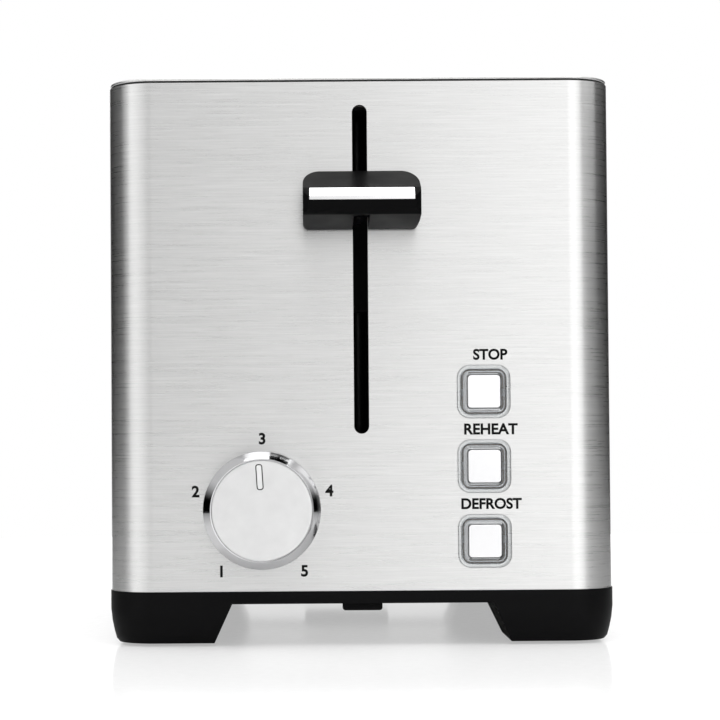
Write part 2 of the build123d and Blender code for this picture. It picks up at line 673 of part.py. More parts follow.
def front_bulkhead():
    """Steel wall between the mechanism and the ovens, with a foot turned forward on the deck."""
    half = BULKHEAD_HALF_WIDTH
    plate = block(-half, half, FRONT_BULKHEAD_DEPTH, OVEN_FRONT, DECK_Z, BULKHEAD_TOP_Z)
    foot = BULKHEAD_FOOT_HALF
    front = FRONT_BULKHEAD_DEPTH - FLANGE_LENGTH
    plate += block(-foot, foot, front, FRONT_BULKHEAD_DEPTH, DECK_Z, DECK_Z + BULKHEAD_WALL)
    for x, depth in deck_screw_places():
        plate -= rod_up(x, depth, DECK_Z - 1, DECK_Z + 3, SCREW_DIAMETER + 2 * SCREW_CLEARANCE)
    return pierced(plate)


def rear_bulkhead():
    """Steel wall behind the ovens, cut away below for the tray."""
    half = BULKHEAD_HALF_WIDTH
    plate = block(-half, half, OVEN_REAR, REAR_BULKHEAD_DEPTH, DECK_Z, BULKHEAD_TOP_Z)
    way = CORRIDOR_HALF + 1
    plate -= block(-way, way, OVEN_REAR - 1, REAR_BULKHEAD_DEPTH + 1, DECK_Z - 1, BASE_HEIGHT + 1)
    return pierced(plate)


def chassis_rails():
    """Pair of angle rails that tie the bulkheads together along the deck."""
    inner = CORRIDOR_HALF + BASE_WALL + RAIL_GAP
    rail = block(inner, inner + RAIL_WIDTH, OVEN_FRONT, OVEN_REAR, DECK_Z, DECK_Z + RAIL_WALL)
    rail += block(inner, inner + RAIL_WALL, OVEN_FRONT, OVEN_REAR, DECK_Z, DECK_Z + RAIL_HEIGHT)
    for x, depth in deck_screw_places():
        rail -= rod_up(x, depth, DECK_Z - 1, DECK_Z + 3, SCREW_DIAMETER + 2 * SCREW_CLEARANCE)
    return Compound(children=[rail, mirrored(rail)])


def top_tie_bars():
    """Pair of flat bars that tie the bulkheads together at the top."""
    outer = BULKHEAD_HALF_WIDTH
    low = BULKHEAD_TOP_Z - TIE_BAR_HEIGHT
    bar = block(outer - RAIL_WALL, outer, OVEN_FRONT, OVEN_REAR, low, BULKHEAD_TOP_Z)
    return Compound(children=[bar, mirrored(bar)])


def side_reflectors():
    """Pair of bright heat shields outside the ovens, turned outwards along the top."""
    x = OVEN_PITCH / 2 + REFLECTOR_OFFSET
    top = BODY_HEIGHT - REFLECTOR_HEADROOM
    plate = block(x, x + REFLECTOR_WALL, OVEN_FRONT, OVEN_REAR, REFLECTOR_BOTTOM_Z, top)
    plate += block(x, x + REFLECTOR_FLANGE, OVEN_FRONT, OVEN_REAR, top - REFLECTOR_WALL, top)
    return Compound(children=[plate, mirrored(plate)])


def centre_divider():
    """Bright sheet between the two ovens."""
    half = REFLECTOR_WALL / 2
    top = BODY_HEIGHT - REFLECTOR_HEADROOM
    return block(-half, half, OVEN_FRONT, OVEN_REAR, REFLECTOR_BOTTOM_Z, top)


# ---------------------------------------------------------------- heating
def mica_boards(side):
    """The two mica sheets of one oven, with tabs at each end."""
    boards = []
    half = MICA_WALL / 2
    front = OVEN_FRONT + MICA_END_GAP
    rear = OVEN_REAR - MICA_END_GAP
    for x in mica_places(side):
        board = block(x - half, x + half, front, rear, MICA_BOTTOM_Z, BODY_HEIGHT - MICA_HEADROOM)
        for tab in mica_tabs(x, 0):
            board += tab
        boards.append(board)
    return Compound(children=boards)


def ribbon_heights():
    """Heights of the resistance ribbon's turns, leaving out those that would cross a tab."""
    low = MICA_BOTTOM_Z + RIBBON_EDGE
    high = BODY_HEIGHT - MICA_HEADROOM - RIBBON_EDGE
    tabs = (MICA_BOTTOM_Z + MICA_TAB_INSET, BODY_HEIGHT - MICA_HEADROOM - MICA_TAB_INSET)
    room = MICA_TAB_HEIGHT / 2 + RIBBON_WIDTH
    count = int((high - low) / RIBBON_PITCH) + 1
    heights = [low + n * RIBBON_PITCH for n in range(count)]
    return [z for z in heights if all(abs(z - tab) > room for tab in tabs)]


def heating_ribbons(side):
    """Flat turns of resistance ribbon round the two mica boards of one oven."""
    turns = []
    gap = MICA_WALL / 2 + RIBBON_GAP
    wide = gap + RIBBON_THICKNESS
    front = OVEN_FRONT + MICA_END_GAP - RIBBON_GAP
    rear = OVEN_REAR - MICA_END_GAP + RIBBON_GAP
    start = front - RIBBON_THICKNESS
    end = rear + RIBBON_THICKNESS
    for x in mica_places(side):
        for z in ribbon_heights():
            low = z - RIBBON_WIDTH / 2
            high = z + RIBBON_WIDTH / 2
            turn = block(x - wide, x + wide, start, end, low, high)
            turns.append(turn - block(x - gap, x + gap, front, rear, low, high))
    return Compound(children=turns)


def guard(side, wall):
    """Wire guard on one side of one oven, hinged on its lowest wire; wall is -1 or 1."""
    x = side * OVEN_PITCH / 2 + wall * GUARD_OFFSET
    top = BODY_HEIGHT - GUARD_HEADROOM
    bend = top - GUARD_FLARE_HEIGHT
    front = OVEN_FRONT + GUARD_END_GAP
    rear = OVEN_REAR - GUARD_END_GAP
    pin_front = FRONT_BULKHEAD_DEPTH - GUARD_PIN_REACH
    pin_rear = REAR_BULKHEAD_DEPTH + GUARD_PIN_REACH
    wires = [rod_along(x, pin_front, pin_rear, GUARD_PIVOT_Z, GUARD_PIVOT_DIAMETER)]
    lean = math.atan2(GUARD_FLARE, GUARD_FLARE_HEIGHT)
    slant = math.hypot(GUARD_FLARE, GUARD_FLARE_HEIGHT)
    for n in range(GUARD_UPRIGHTS):
        depth = front + (rear - front) * n / (GUARD_UPRIGHTS - 1)
        wires.append(rod_up(x, depth, GUARD_PIVOT_Z, bend, GUARD_WIRE))
        wires.append(Pos(x, Y_FRONT + depth, bend) * Sphere(GUARD_WIRE / 2))
        middle = Pos(x + wall * GUARD_FLARE / 2, Y_FRONT + depth, bend + GUARD_FLARE_HEIGHT / 2)
        tilt = Rot(0, wall * math.degrees(lean), 0)
        wires.append(middle * tilt * Cylinder(GUARD_WIRE / 2, slant))
    for n in range(GUARD_RIBS):
        z = GUARD_PIVOT_Z + (bend - GUARD_PIVOT_Z) * (n + 1) / (GUARD_RIBS + 1)
        wires.append(rod_along(x + wall * GUARD_RIB_STANDOFF, front - 2, rear + 2, z, GUARD_WIRE))
    wires.append(rod_along(x + wall * GUARD_FLARE, front - 2, rear + 2, top, GUARD_PIVOT_DIAMETER))
    return wires[0].fuse(*wires[1:])


# ---------------------------------------------------------------- carriage
def guide_rod():
    """Upright steel rod that the carriage slides on."""
    return rod_up(0, ROD_DEPTH, DECK_Z, BULKHEAD_TOP_Z + 2, ROD_DIAMETER)


def rod_bracket():
    """Steel bracket on the front bulkhead that steadies the rod and holds the spring's upper hook."""
    half = BRACKET_WIDTH / 2
    front = SPRING_DEPTH - SPRING_DIAMETER
    bracket = block(-half, half, front, FRONT_BULKHEAD_DEPTH, BRACKET_Z, BULKHEAD_TOP_Z)
    rear = FRONT_BULKHEAD_DEPTH
    bracket += block(-half, half, rear - BRACKET_WALL, rear, BRACKET_Z - BRACKET_FLANGE, BULKHEAD_TOP_Z)
    bracket -= rod_up(SPRING_X, SPRING_DEPTH, BRACKET_Z - 1, BULKHEAD_TOP_Z + 1, SPRING_HOLE)
    hole = ROD_DIAMETER + 2 * SEAT_CLEARANCE
    return bracket - rod_up(0, ROD_DEPTH, BRACKET_Z - 1, BULKHEAD_TOP_Z + 1, hole)


def lift_spring():
    """Extension spring: an eye round the carriage post below, a stem through the bracket above."""
    eye = SPRING_POST_DIAMETER / 2 + SPRING_EYE_GAP + SPRING_WIRE / 2
    bottom = SPRING_POST_Z + eye + SPRING_STEM
    top = BRACKET_Z - SPRING_STEM
    pitch = (top - bottom) / SPRING_TURNS
    outer = SPRING_DIAMETER / 2
    valley = outer - SPRING_WIRE / 2
    inner = outer - SPRING_WIRE
    outline = [(0, 0), (valley, 0)]
    for n in range(SPRING_TURNS):
        outline += [(outer, (n + 0.5) * pitch), (valley, (n + 1) * pitch)]
    length = top - bottom
    outline += [(0, length), (0, length - SPRING_WIRE), (inner, length - SPRING_WIRE)]
    outline += [(inner, SPRING_WIRE), (0, SPRING_WIRE)]
    place = Pos(SPRING_X, Y_FRONT + SPRING_DEPTH, bottom)
    spring = place * revolve(Plane.XZ * Polygon(*outline, align=None), axis=Axis.Z)
    loop = Rot(90, 0, 0) * Torus(eye, SPRING_WIRE / 2)
    spring += Pos(SPRING_X, Y_FRONT + SPRING_DEPTH, SPRING_POST_Z) * loop
    spring += rod_up(SPRING_X, SPRING_DEPTH, SPRING_POST_Z + eye, bottom + SPRING_WIRE / 2, SPRING_WIRE)
    head = BULKHEAD_TOP_Z + SPRING_WIRE
    spring += rod_up(SPRING_X, SPRING_DEPTH, top - SPRING_WIRE / 2, head, SPRING_WIRE)
    return spring + rod_up(SPRING_X, SPRING_DEPTH, BULKHEAD_TOP_Z, head, SPRING_HOLE + 2 * SPRING_WIRE)


def carriage_slider():
    """Moulded block that runs on the rod, with a slot for the lever arm and a post for the spring."""
    half = SLIDER_WIDTH / 2
    body = block(-half, half, SLIDER_FRONT_DEPTH, SLIDER_BACK_DEPTH, SLIDER_BOTTOM_Z, SLIDER_TOP_Z)
    body = fillet(body.edges().filter_by(Axis.Z), SLIDER_ROUND)
    post_front = SPRING_DEPTH - SPRING_DIAMETER / 2
    body += rod_along(SPRING_X, post_front, SLIDER_FRONT_DEPTH + 1, SPRING_POST_Z, SPRING_POST_DIAMETER)
    bore = ROD_DIAMETER + 2 * ROD_CLEARANCE
    body -= rod_up(0, ROD_DEPTH, SLIDER_BOTTOM_Z - 1, SLIDER_TOP_Z + 1, bore)
    arm = ARM_THICKNESS / 2
    key = SLIDER_FRONT_DEPTH + ARM_KEY
    low = ARM_Z - ARM_HEIGHT / 2
    return body - block(-arm, arm, SLIDER_FRONT_DEPTH - 1, key, low, low + ARM_HEIGHT)


def carriage_plate():
    """Steel crosspiece on the back of the slider that carries both bread racks."""
    half = OVEN_PITCH / 2 + CARRIAGE_END_MARGIN
    rear = SLIDER_BACK_DEPTH + CARRIAGE_WALL
    plate = block(-half, half, SLIDER_BACK_DEPTH, rear, CARRIAGE_BOTTOM_Z, CARRIAGE_TOP_Z)
    stem = SLIDER_WIDTH / 2 - 1
    return plate + block(-stem, stem, SLIDER_BACK_DEPTH, rear, CARRIAGE_TOP_Z, SLIDER_TOP_Z - 1)


def lever_arm():
    """Flat steel arm from the slider out through the panel's slot into the lever."""
    half = ARM_THICKNESS / 2
    low = ARM_Z - ARM_HEIGHT / 2
    front = -LEVER_GAP - ARM_SOCKET
    return block(-half, half, front, SLIDER_FRONT_DEPTH + ARM_KEY, low, low + ARM_HEIGHT)


def lever_section():
    """Lever outline as (depth, z): deep at the panel, with a blunt nose."""
    nose = -LEVER_REACH
    return [
        (-LEVER_GAP, ARM_Z + LEVER_ROOT_BOTTOM),
        (-LEVER_GAP, ARM_Z + LEVER_ROOT_TOP),
        (nose + LEVER_NOSE_LENGTH, ARM_Z + LEVER_NOSE_TOP),
        (nose, ARM_Z + LEVER_NOSE_TOP - LEVER_NOSE_LENGTH),
        (nose, ARM_Z + LEVER_NOSE_BOTTOM + LEVER_NOSE_LENGTH * 0.6),
        (nose + LEVER_NOSE_LENGTH * 0.6, ARM_Z + LEVER_NOSE_BOTTOM),
    ]


def lever_trim():
    """Chrome strip let into the upper half of the lever's nose."""
    whole = section_across(lever_section(), TRIM_WIDTH)
    nose = -LEVER_REACH
    low = ARM_Z + TRIM_BOTTOM
    high = ARM_Z + LEVER_NOSE_TOP
    back = TRIM_THICKNESS
    region = [
        (nose - 1, low),
        (nose + back, low),
        (nose + back, high - LEVER_NOSE_LENGTH - back * 0.4),
        (nose + LEVER_NOSE_LENGTH, high - back * 1.4),
        (nose + LEVER_NOSE_LENGTH, high + 1),
        (nose - 1, high + 1),
    ]
    return whole & section_across(region, TRIM_WIDTH)


def lever_knob():
    """Black lever with a socket for the arm, a groove below it and a recess for the chrome strip."""
    half_width = LEVER_WIDTH / 2
    low = ARM_Z + LEVER_ROOT_BOTTOM
    high = ARM_Z + LEVER_ROOT_TOP
    front = block(-half_width, half_width, -LEVER_REACH, -LEVER_GAP, low, high)
    front = fillet(front.edges().filter_by(Axis.Y).group_by(Axis.Z)[-1], LEVER_TOP_ROUND)
    front = fillet(front.edges().filter_by(Axis.Y).group_by(Axis.Z)[0], LEVER_BOTTOM_ROUND)
    plan = block(-half_width, half_width, -LEVER_REACH, -LEVER_GAP, low, high)
    plan = chamfer(plan.edges().filter_by(Axis.Z).group_by(Axis.Y)[0], LEVER_END_CHAMFER)
    knob = section_across(lever_section(), LEVER_WIDTH) & front & plan
    knob -= lever_trim()
    groove = LEVER_GROOVE_WIDTH / 2
    nose = -LEVER_REACH + LEVER_NOSE_WALL
    roof = ARM_Z - ARM_HEIGHT / 2 - LEVER_GROOVE_ROOF
    knob -= block(-groove, groove, nose, 0, low - 1, roof)
    low = ARM_Z - ARM_HEIGHT / 2
    half = ARM_THICKNESS / 2
    return knob - block(-half, half, -LEVER_GAP - ARM_SOCKET, 0, low, low + ARM_HEIGHT)


def bread_rack(side):
    """Bar with cross fingers under the bread, hung on the carriage and guided by both bulkheads."""
    x = side * OVEN_PITCH / 2
    half = RACK_WALL / 2
    tab = RACK_TAB_WIDTH / 2
    rear = REAR_BULKHEAD_DEPTH + RACK_TAIL
    rack = block(x - half, x + half, RACK_DEPTH, rear, RACK_BOTTOM_Z, RACK_TOP_Z)
    hanger = RACK_DEPTH + RACK_WALL
    pieces = [block(x - tab, x + tab, RACK_DEPTH, hanger, CARRIAGE_BOTTOM_Z, CARRIAGE_TOP_Z)]
    front = OVEN_FRONT + RACK_END_GAP
    step = (OVEN_REAR - RACK_END_GAP - front) / (RACK_FINGERS - 1)
    reach = RACK_FINGER_LENGTH / 2
    for n in range(RACK_FINGERS):
        depth = front + n * step
        pieces.append(rod_across(x - reach, x + reach, depth, RACK_TOP_Z - RACK_FINGER, RACK_FINGER))
    return rack.fuse(*pieces)


def armature_plate():
    """Steel plate on the carriage that the magnet holds down."""
    x0 = MAGNET_X - MAGNET_COIL_DIAMETER / 2
    x1 = MAGNET_X + MAGNET_LIMB_OFFSET + MAGNET_LIMB_WALL
    front = MAGNET_DEPTH - MAGNET_HALF_LENGTH
    return block(x0, x1, front, SLIDER_BACK_DEPTH, ARMATURE_Z, ARMATURE_Z + ARMATURE_THICKNESS)


def contact_pusher():
    """Plastic finger on the carriage that closes the supply contacts when the bread is down."""
    half = PUSHER_WIDTH / 2
    low = CARRIAGE_BOTTOM_Z - PUSHER_DROP
    front = SLIDER_BACK_DEPTH - PUSHER_LENGTH
    return block(CONTACT_X - half, CONTACT_X + half, front, SLIDER_BACK_DEPTH, low, low + PUSHER_HEIGHT)


# ---------------------------------------------------------------- magnet and contacts
def magnet_core():
    """Iron core, foot plate and side limb of the holding magnet."""
    depth = MAGNET_DEPTH
    half = MAGNET_HALF_LENGTH
    limb = MAGNET_X + MAGNET_LIMB_OFFSET
    left = MAGNET_X - MAGNET_COIL_DIAMETER / 2
    foot = block(left, limb + MAGNET_LIMB_WALL, depth - half, depth + half, DECK_Z, DECK_Z + MAGNET_PLATE)
    foot += block(limb, limb + MAGNET_LIMB_WALL, depth - half, depth + half, DECK_Z, MAGNET_TOP_Z)
    return foot + rod_up(MAGNET_X, depth, DECK_Z, MAGNET_TOP_Z, MAGNET_CORE_DIAMETER)


def magnet_coil():
    """Wound bobbin round the core."""
    low = DECK_Z + MAGNET_PLATE + MAGNET_COIL_FOOT_GAP
    high = MAGNET_TOP_Z - MAGNET_COIL_TOP_GAP
    start = low + MAGNET_COIL_FLANGE
    end = high - MAGNET_COIL_FLANGE
    winding = MAGNET_COIL_DIAMETER - 2 * MAGNET_WINDING_INSET
    coil = rod_up(MAGNET_X, MAGNET_DEPTH, low, high, MAGNET_COIL_DIAMETER)
    waste = rod_up(MAGNET_X, MAGNET_DEPTH, start, end, MAGNET_COIL_DIAMETER + 1)
    coil -= waste - rod_up(MAGNET_X, MAGNET_DEPTH, start, end, winding)
    bore = MAGNET_CORE_DIAMETER + 2 * MAGNET_COIL_CLEARANCE
    return coil - rod_up(MAGNET_X, MAGNET_DEPTH, low - 1, high + 1, bore)


def contact_block():
    """Insulating block that holds the supply contacts."""
    half = CONTACT_BLOCK_WIDTH / 2
    front = ROD_DEPTH - CONTACT_BLOCK_LENGTH / 2
    top = DECK_Z + CONTACT_BLOCK_HEIGHT
    body = block(CONTACT_X - half, CONTACT_X + half, front, front + CONTACT_BLOCK_LENGTH, DECK_Z, top)
    return fillet(body.edges().filter_by(Axis.Z), CONTACT_BLOCK_ROUND)


def contact_leaves():
    """Four springy copper leaves standing in the block, two for each pole."""
    leaves = []
    base = DECK_Z + CONTACT_BLOCK_HEIGHT
    rear_face = SLIDER_BACK_DEPTH - PUSHER_LENGTH - LEAF_GAP
    for offset in (-LEAF_PITCH / 2, LEAF_PITCH / 2):
        left = CONTACT_X + offset - LEAF_WIDTH / 2
        for setback, height in ((0, LEAF_HEIGHT), (LEAF_SETBACK, LEAF_HEIGHT - LEAF_STEP)):
            depth = rear_face - setback
            top = base + height
            leaves.append(block(left, left + LEAF_WIDTH, depth - LEAF_THICKNESS, depth, base, top))
    return Compound(children=leaves)


# ---------------------------------------------------------------- controls
def post_places(span):
    """Corners of a circuit board where it is screwed to its posts, as (x, z)."""
    x0, x1 = span
    inset = BOARD_POST_INSET
    heights = (BOARD_BOTTOM_Z + inset, BOARD_TOP_Z - inset)
    return [(x, z) for x in (x0 + inset, x1 - inset) for z in heights]


def board_frame(span, board_depth):
    """Black moulded frame behind the panel, with four posts for a circuit board."""
    x0, x1 = span
    frame = block(x0, x1, SHELL_WALL, SHELL_WALL + FRAME_WALL, BOARD_BOTTOM_Z, BOARD_TOP_Z)
    frame = fillet(frame.edges().filter_by(Axis.Y), FRAME_ROUND)
    for x, z in post_places(span):
        frame += rod_along(x, SHELL_WALL + 1, board_depth, z, BOARD_POST_DIAMETER)
        hole = BOARD_SCREW_DIAMETER + 2 * SCREW_CLEARANCE
        frame -= rod_along(x, board_depth - BOARD_SCREW_REACH, board_depth + 1, z, hole)
    return frame


def board(span, board_depth):
    """Circuit board with its four screw holes."""
    x0, x1 = span
    plate = block(x0, x1, board_depth, board_depth + BOARD_WALL, BOARD_BOTTOM_Z, BOARD_TOP_Z)
    for x, z in post_places(span):
        hole = BOARD_SCREW_DIAMETER + 2 * SCREW_CLEARANCE
        plate -= rod_along(x, board_depth - 1, board_depth + BOARD_WALL + 1, z, hole)
    return plate


def board_screws():
    """Eight small screws that hold the two circuit boards to their posts."""
    screws = []
    sizes = (BOARD_SCREW_DIAMETER, BOARD_SCREW_HEAD, BOARD_SCREW_HEAD_HEIGHT, BOARD_SCREW_REACH)
    for span, depth in ((CONTROL_BOARD_X, CONTROL_BOARD_DEPTH), (BUTTON_BOARD_X, BUTTON_BOARD_DEPTH)):
        for x, z in post_places(span):
            screws.append(screw(x, depth + BOARD_WALL, z, (0, -1, 0), *sizes))
    return Compound(children=screws)


def dial_bracket():
    """Frame that holds the control board behind the dial."""
    frame = board_frame(CONTROL_BOARD_X, CONTROL_BOARD_DEPTH)
    return frame - rod_along(DIAL_X, 0, SHELL_WALL + FRAME_WALL + 1, DIAL_Z, SHAFT_HOLE)


def potentiometer():
    """Body of the browning control, soldered on the control board."""
    half = POT_SIZE / 2
    rear = CONTROL_BOARD_DEPTH
    body = block(DIAL_X - half, DIAL_X + half, rear - POT_THICKNESS, rear, DIAL_Z - half, DIAL_Z + half)
    body = fillet(body.edges().filter_by(Axis.Y), POT_ROUND)
    bore = SHAFT_DIAMETER + 2 * HINGE_CLEARANCE
    return body - rod_along(DIAL_X, rear - POT_THICKNESS - 1, rear - POT_FLOOR, DIAL_Z, bore)


def board_components():
    """Relay, capacitor, regulator and timing chip on the back of the control board."""
    rear = CONTROL_BOARD_DEPTH + BOARD_WALL
    parts = [rod_along(CAPACITOR_X, rear, rear + CAPACITOR_HEIGHT, CAPACITOR_Z, CAPACITOR_DIAMETER)]
    for x0, x1, z0, z1, height in (RELAY, CHIP, REGULATOR):
        parts.append(block(x0, x1, rear, rear + height, z0, z1))
    return Compound(children=parts)


def pot_shaft():
    """Steel shaft from the potentiometer out through the panel to the dial."""
    rear = CONTROL_BOARD_DEPTH - SHAFT_END_GAP
    return rod_along(DIAL_X, -DIAL_REACH + SHAFT_SET_IN, rear, DIAL_Z, SHAFT_DIAMETER)


def turned(points):
    """Ring or disc turned about the dial's axis from (radius, depth) points."""
    outline = Polygon(*[(radius, depth) for radius, depth in points], align=None)
    solid = revolve(Plane.XY * outline, axis=Axis.Y)
    return Pos(DIAL_X, Y_FRONT, DIAL_Z) * solid


def dial_skirt():
    """Chrome skirt of the dial, wider at the panel, with a rim round the face."""
    outer = DIAL_DIAMETER / 2
    face = DIAL_FACE_DIAMETER / 2 + DIAL_SEAT_CLEARANCE
    front = -DIAL_REACH
    seat = front + DIAL_FACE_INSET + DIAL_FACE_THICKNESS
    return turned([
        (outer, -DIAL_GAP),
        (outer, -DIAL_GAP - DIAL_FOOT_LENGTH),
        (outer - 0.5, front * 0.55),
        (face + 1.1, front + 0.6),
        (face + 0.6, front),
        (face, front),
        (face, seat),
        (SHAFT_DIAMETER, seat),
        (SHAFT_DIAMETER, seat + DIAL_WEB),
        (face - 0.6, seat + DIAL_WEB),
        (outer - DIAL_SKIRT_WALL, -DIAL_GAP),
    ])


def dial_face():
    """Satin disc let into the front of the skirt, with a sunk pointer mark near its rim."""
    front = -DIAL_REACH + DIAL_FACE_INSET
    disc = rod_along(DIAL_X, front, front + DIAL_FACE_THICKNESS, DIAL_Z, DIAL_FACE_DIAMETER)
    outer = DIAL_FACE_DIAMETER / 2 - POINTER_INSET
    half = POINTER_WIDTH / 2
    mark = block(-half, half, front - 1, front + POINTER_DEPTH, outer - POINTER_LENGTH, outer)
    mark = fillet(mark.edges().filter_by(Axis.Y), half * 0.6)
    mark = Pos(DIAL_X, 0, DIAL_Z) * Rot(0, -POINTER_TURN, 0) * mark
    return disc - mark


def dial_hub():
    """Plastic core of the dial, gripping the shaft."""
    seat = -DIAL_REACH + DIAL_FACE_INSET + DIAL_FACE_THICKNESS + DIAL_WEB
    hub = rod_along(DIAL_X, seat, -DIAL_GAP, DIAL_Z, DIAL_HUB_DIAMETER)
    return hub - rod_along(DIAL_X, seat, 0, DIAL_Z, SHAFT_DIAMETER)


def button_guide():
    """Frame that holds the button board and locates the three light rings."""
    frame = board_frame(BUTTON_BOARD_X, BUTTON_BOARD_DEPTH)
    opening = RING_NECK + 2 * RING_CLEARANCE
    for z in BUTTON_HEIGHTS:
        radius = RING_NECK_RADIUS + RING_CLEARANCE
        frame -= square_through(BUTTON_X, z, opening, radius, 0, SHELL_WALL + FRAME_WALL + 1)
    return frame


def light_rings():
    """Three clear frames round the buttons: a proud rim on the panel and a neck behind it."""
    rings = []
    hole = BUTTON_SIZE + 2 * BUTTON_CLEARANCE
    pocket = BUTTON_FLANGE + 2 * BUTTON_CLEARANCE
    step = BUTTON_FLANGE_DEPTH - BUTTON_STOP_GAP
    corner = BUTTON_RADIUS + BUTTON_CLEARANCE
    for z in BUTTON_HEIGHTS:
        rim = square_through(BUTTON_X, z, RING_SIZE, RING_RADIUS, -RING_PROUD, 0)
        rim = fillet(rim.edges().group_by(Axis.Y)[0], RING_PROUD * 0.6)
        ring = rim + square_through(BUTTON_X, z, RING_NECK, RING_NECK_RADIUS, 0, RING_NECK_LENGTH)
        ring -= square_through(BUTTON_X, z, hole, corner, -RING_PROUD - 1, step + 1)
        ring -= square_through(BUTTON_X, z, pocket, corner, step, RING_NECK_LENGTH + 1)
        rings.append(ring)
    return Compound(children=rings)


def button(z):
    """Push button: square cap, flange behind the light ring and a stem into its switch."""
    cap = square_through(BUTTON_X, z, BUTTON_SIZE, BUTTON_RADIUS, -BUTTON_PROUD, BUTTON_FLANGE_DEPTH)
    cap = fillet(cap.edges().group_by(Axis.Y)[0], 0.4)
    rear = BUTTON_FLANGE_DEPTH + BUTTON_FLANGE_WALL
    flange = square_through(BUTTON_X, z, BUTTON_FLANGE, BUTTON_RADIUS, BUTTON_FLANGE_DEPTH, rear)
    return cap + flange + rod_along(BUTTON_X, rear, STEM_TIP_DEPTH, z, STEM_DIAMETER)


def tact_switches():
    """Three switches on the button board, bored for the button stems."""
    switches = []
    half = SWITCH_SIZE / 2
    front = BUTTON_BOARD_DEPTH - SWITCH_HEIGHT
    for z in BUTTON_HEIGHTS:
        body = block(BUTTON_X - half, BUTTON_X + half, front, BUTTON_BOARD_DEPTH, z - half, z + half)
        bore = STEM_DIAMETER + 2 * STEM_CLEARANCE
        depth = STEM_TIP_DEPTH + BUTTON_TRAVEL + STEM_END_GAP
        switches.append(body - rod_along(BUTTON_X, front - 1, depth, z, bore))
    return Compound(children=switches)


def ring_leds():
    """Two small lamps behind each light ring."""
    leds = []
    half = LED_SIZE / 2
    front = BUTTON_BOARD_DEPTH - LED_HEIGHT
    reach = RING_NECK / 2 - half
    for z in BUTTON_HEIGHTS:
        for x in (BUTTON_X - reach, BUTTON_X + reach):
            leds.append(block(x - half, x + half, front, BUTTON_BOARD_DEPTH, z - half, z + half))
    return Compound(children=leds)


def ribbon_cable():
    """Flat cable between the two circuit boards, passing below the carriage."""
    low = CABLE_Z - CABLE_WIDTH / 2
    high = CABLE_Z + CABLE_WIDTH / 2
    left = CONTROL_BOARD_X[1] - CABLE_INSET
    right = BUTTON_BOARD_X[0] + CABLE_INSET
    rear = CABLE_DEPTH + CABLE_WALL
    flat = block(left, right, CABLE_DEPTH, rear, low, high)
    near = block(left, left + CABLE_WALL, CONTROL_BOARD_DEPTH + BOARD_WALL, rear, low, high)
    far = block(right - CABLE_WALL, right, BUTTON_BOARD_DEPTH + BOARD_WALL, rear, low, high)
    return flat + near + far


# ---------------------------------------------------------------- supply
def cord_gland():
    """Rubber bush in the rear wall that the supply cord comes in through."""
    rear = BODY_LENGTH
    gland = rod_along(GLAND_X, rear - SHELL_WALL - GLAND_INSIDE, rear, GLAND_Z, GLAND_NECK)
    flange = rod_along(GLAND_X, rear, rear + GLAND_FLANGE_WALL, GLAND_Z, GLAND_FLANGE)
    flange = fillet(flange.edges().group_by(Axis.Y)[-1], GLAND_FLANGE_WALL * 0.4)
    sleeve_length = GLAND_REACH - GLAND_FLANGE_WALL
    sleeve = Cone(GLAND_NECK / 2, GLAND_TIP / 2, sleeve_length)
    middle = rear + GLAND_FLANGE_WALL + sleeve_length / 2
    gland += flange + Pos(GLAND_X, Y_FRONT + middle, GLAND_Z) * Rot(-90, 0, 0) * sleeve
    inner_rear = rear - SHELL_WALL
    nut = rod_along(GLAND_X, inner_rear - GLAND_NUT_WALL, inner_rear, GLAND_Z, GLAND_FLANGE)
    start = inner_rear - GLAND_INSIDE - 1
    return gland + nut - rod_along(GLAND_X, start, rear + GLAND_REACH + 1, GLAND_Z, GLAND_BORE)


def supply_wires():
    """Two insulated wires from the gland, along the left side under the shell, to the contact block."""
    wires = []
    start = BODY_LENGTH - SHELL_WALL - GLAND_INSIDE - WIRE_END_GAP
    side = GLAND_X - WIRE_INSET
    block_side = CONTACT_X - CONTACT_BLOCK_WIDTH / 2
    for offset in (-WIRE_SPREAD / 2, WIRE_SPREAD / 2):
        route = [
            (GLAND_X + offset, start, GLAND_Z),
            (GLAND_X + offset, start - WIRE_STRAIGHT, GLAND_Z),
            (side, start - WIRE_TURN, DECK_Z + WIRE_RISE + offset),
            (side, ROD_DEPTH, DECK_Z + WIRE_RISE + offset),
            (block_side, ROD_DEPTH, DECK_Z + WIRE_RISE + offset),
        ]
        path = FilletPolyline(*[(x, Y_FRONT + depth, z) for x, depth, z in route], radius=WIRE_BEND)
        section = Plane(origin=path @ 0, z_dir=path % 0) * Circle(WIRE_DIAMETER / 2)
        wires.append(sweep(section, path=path))
    return Compound(children=wires)


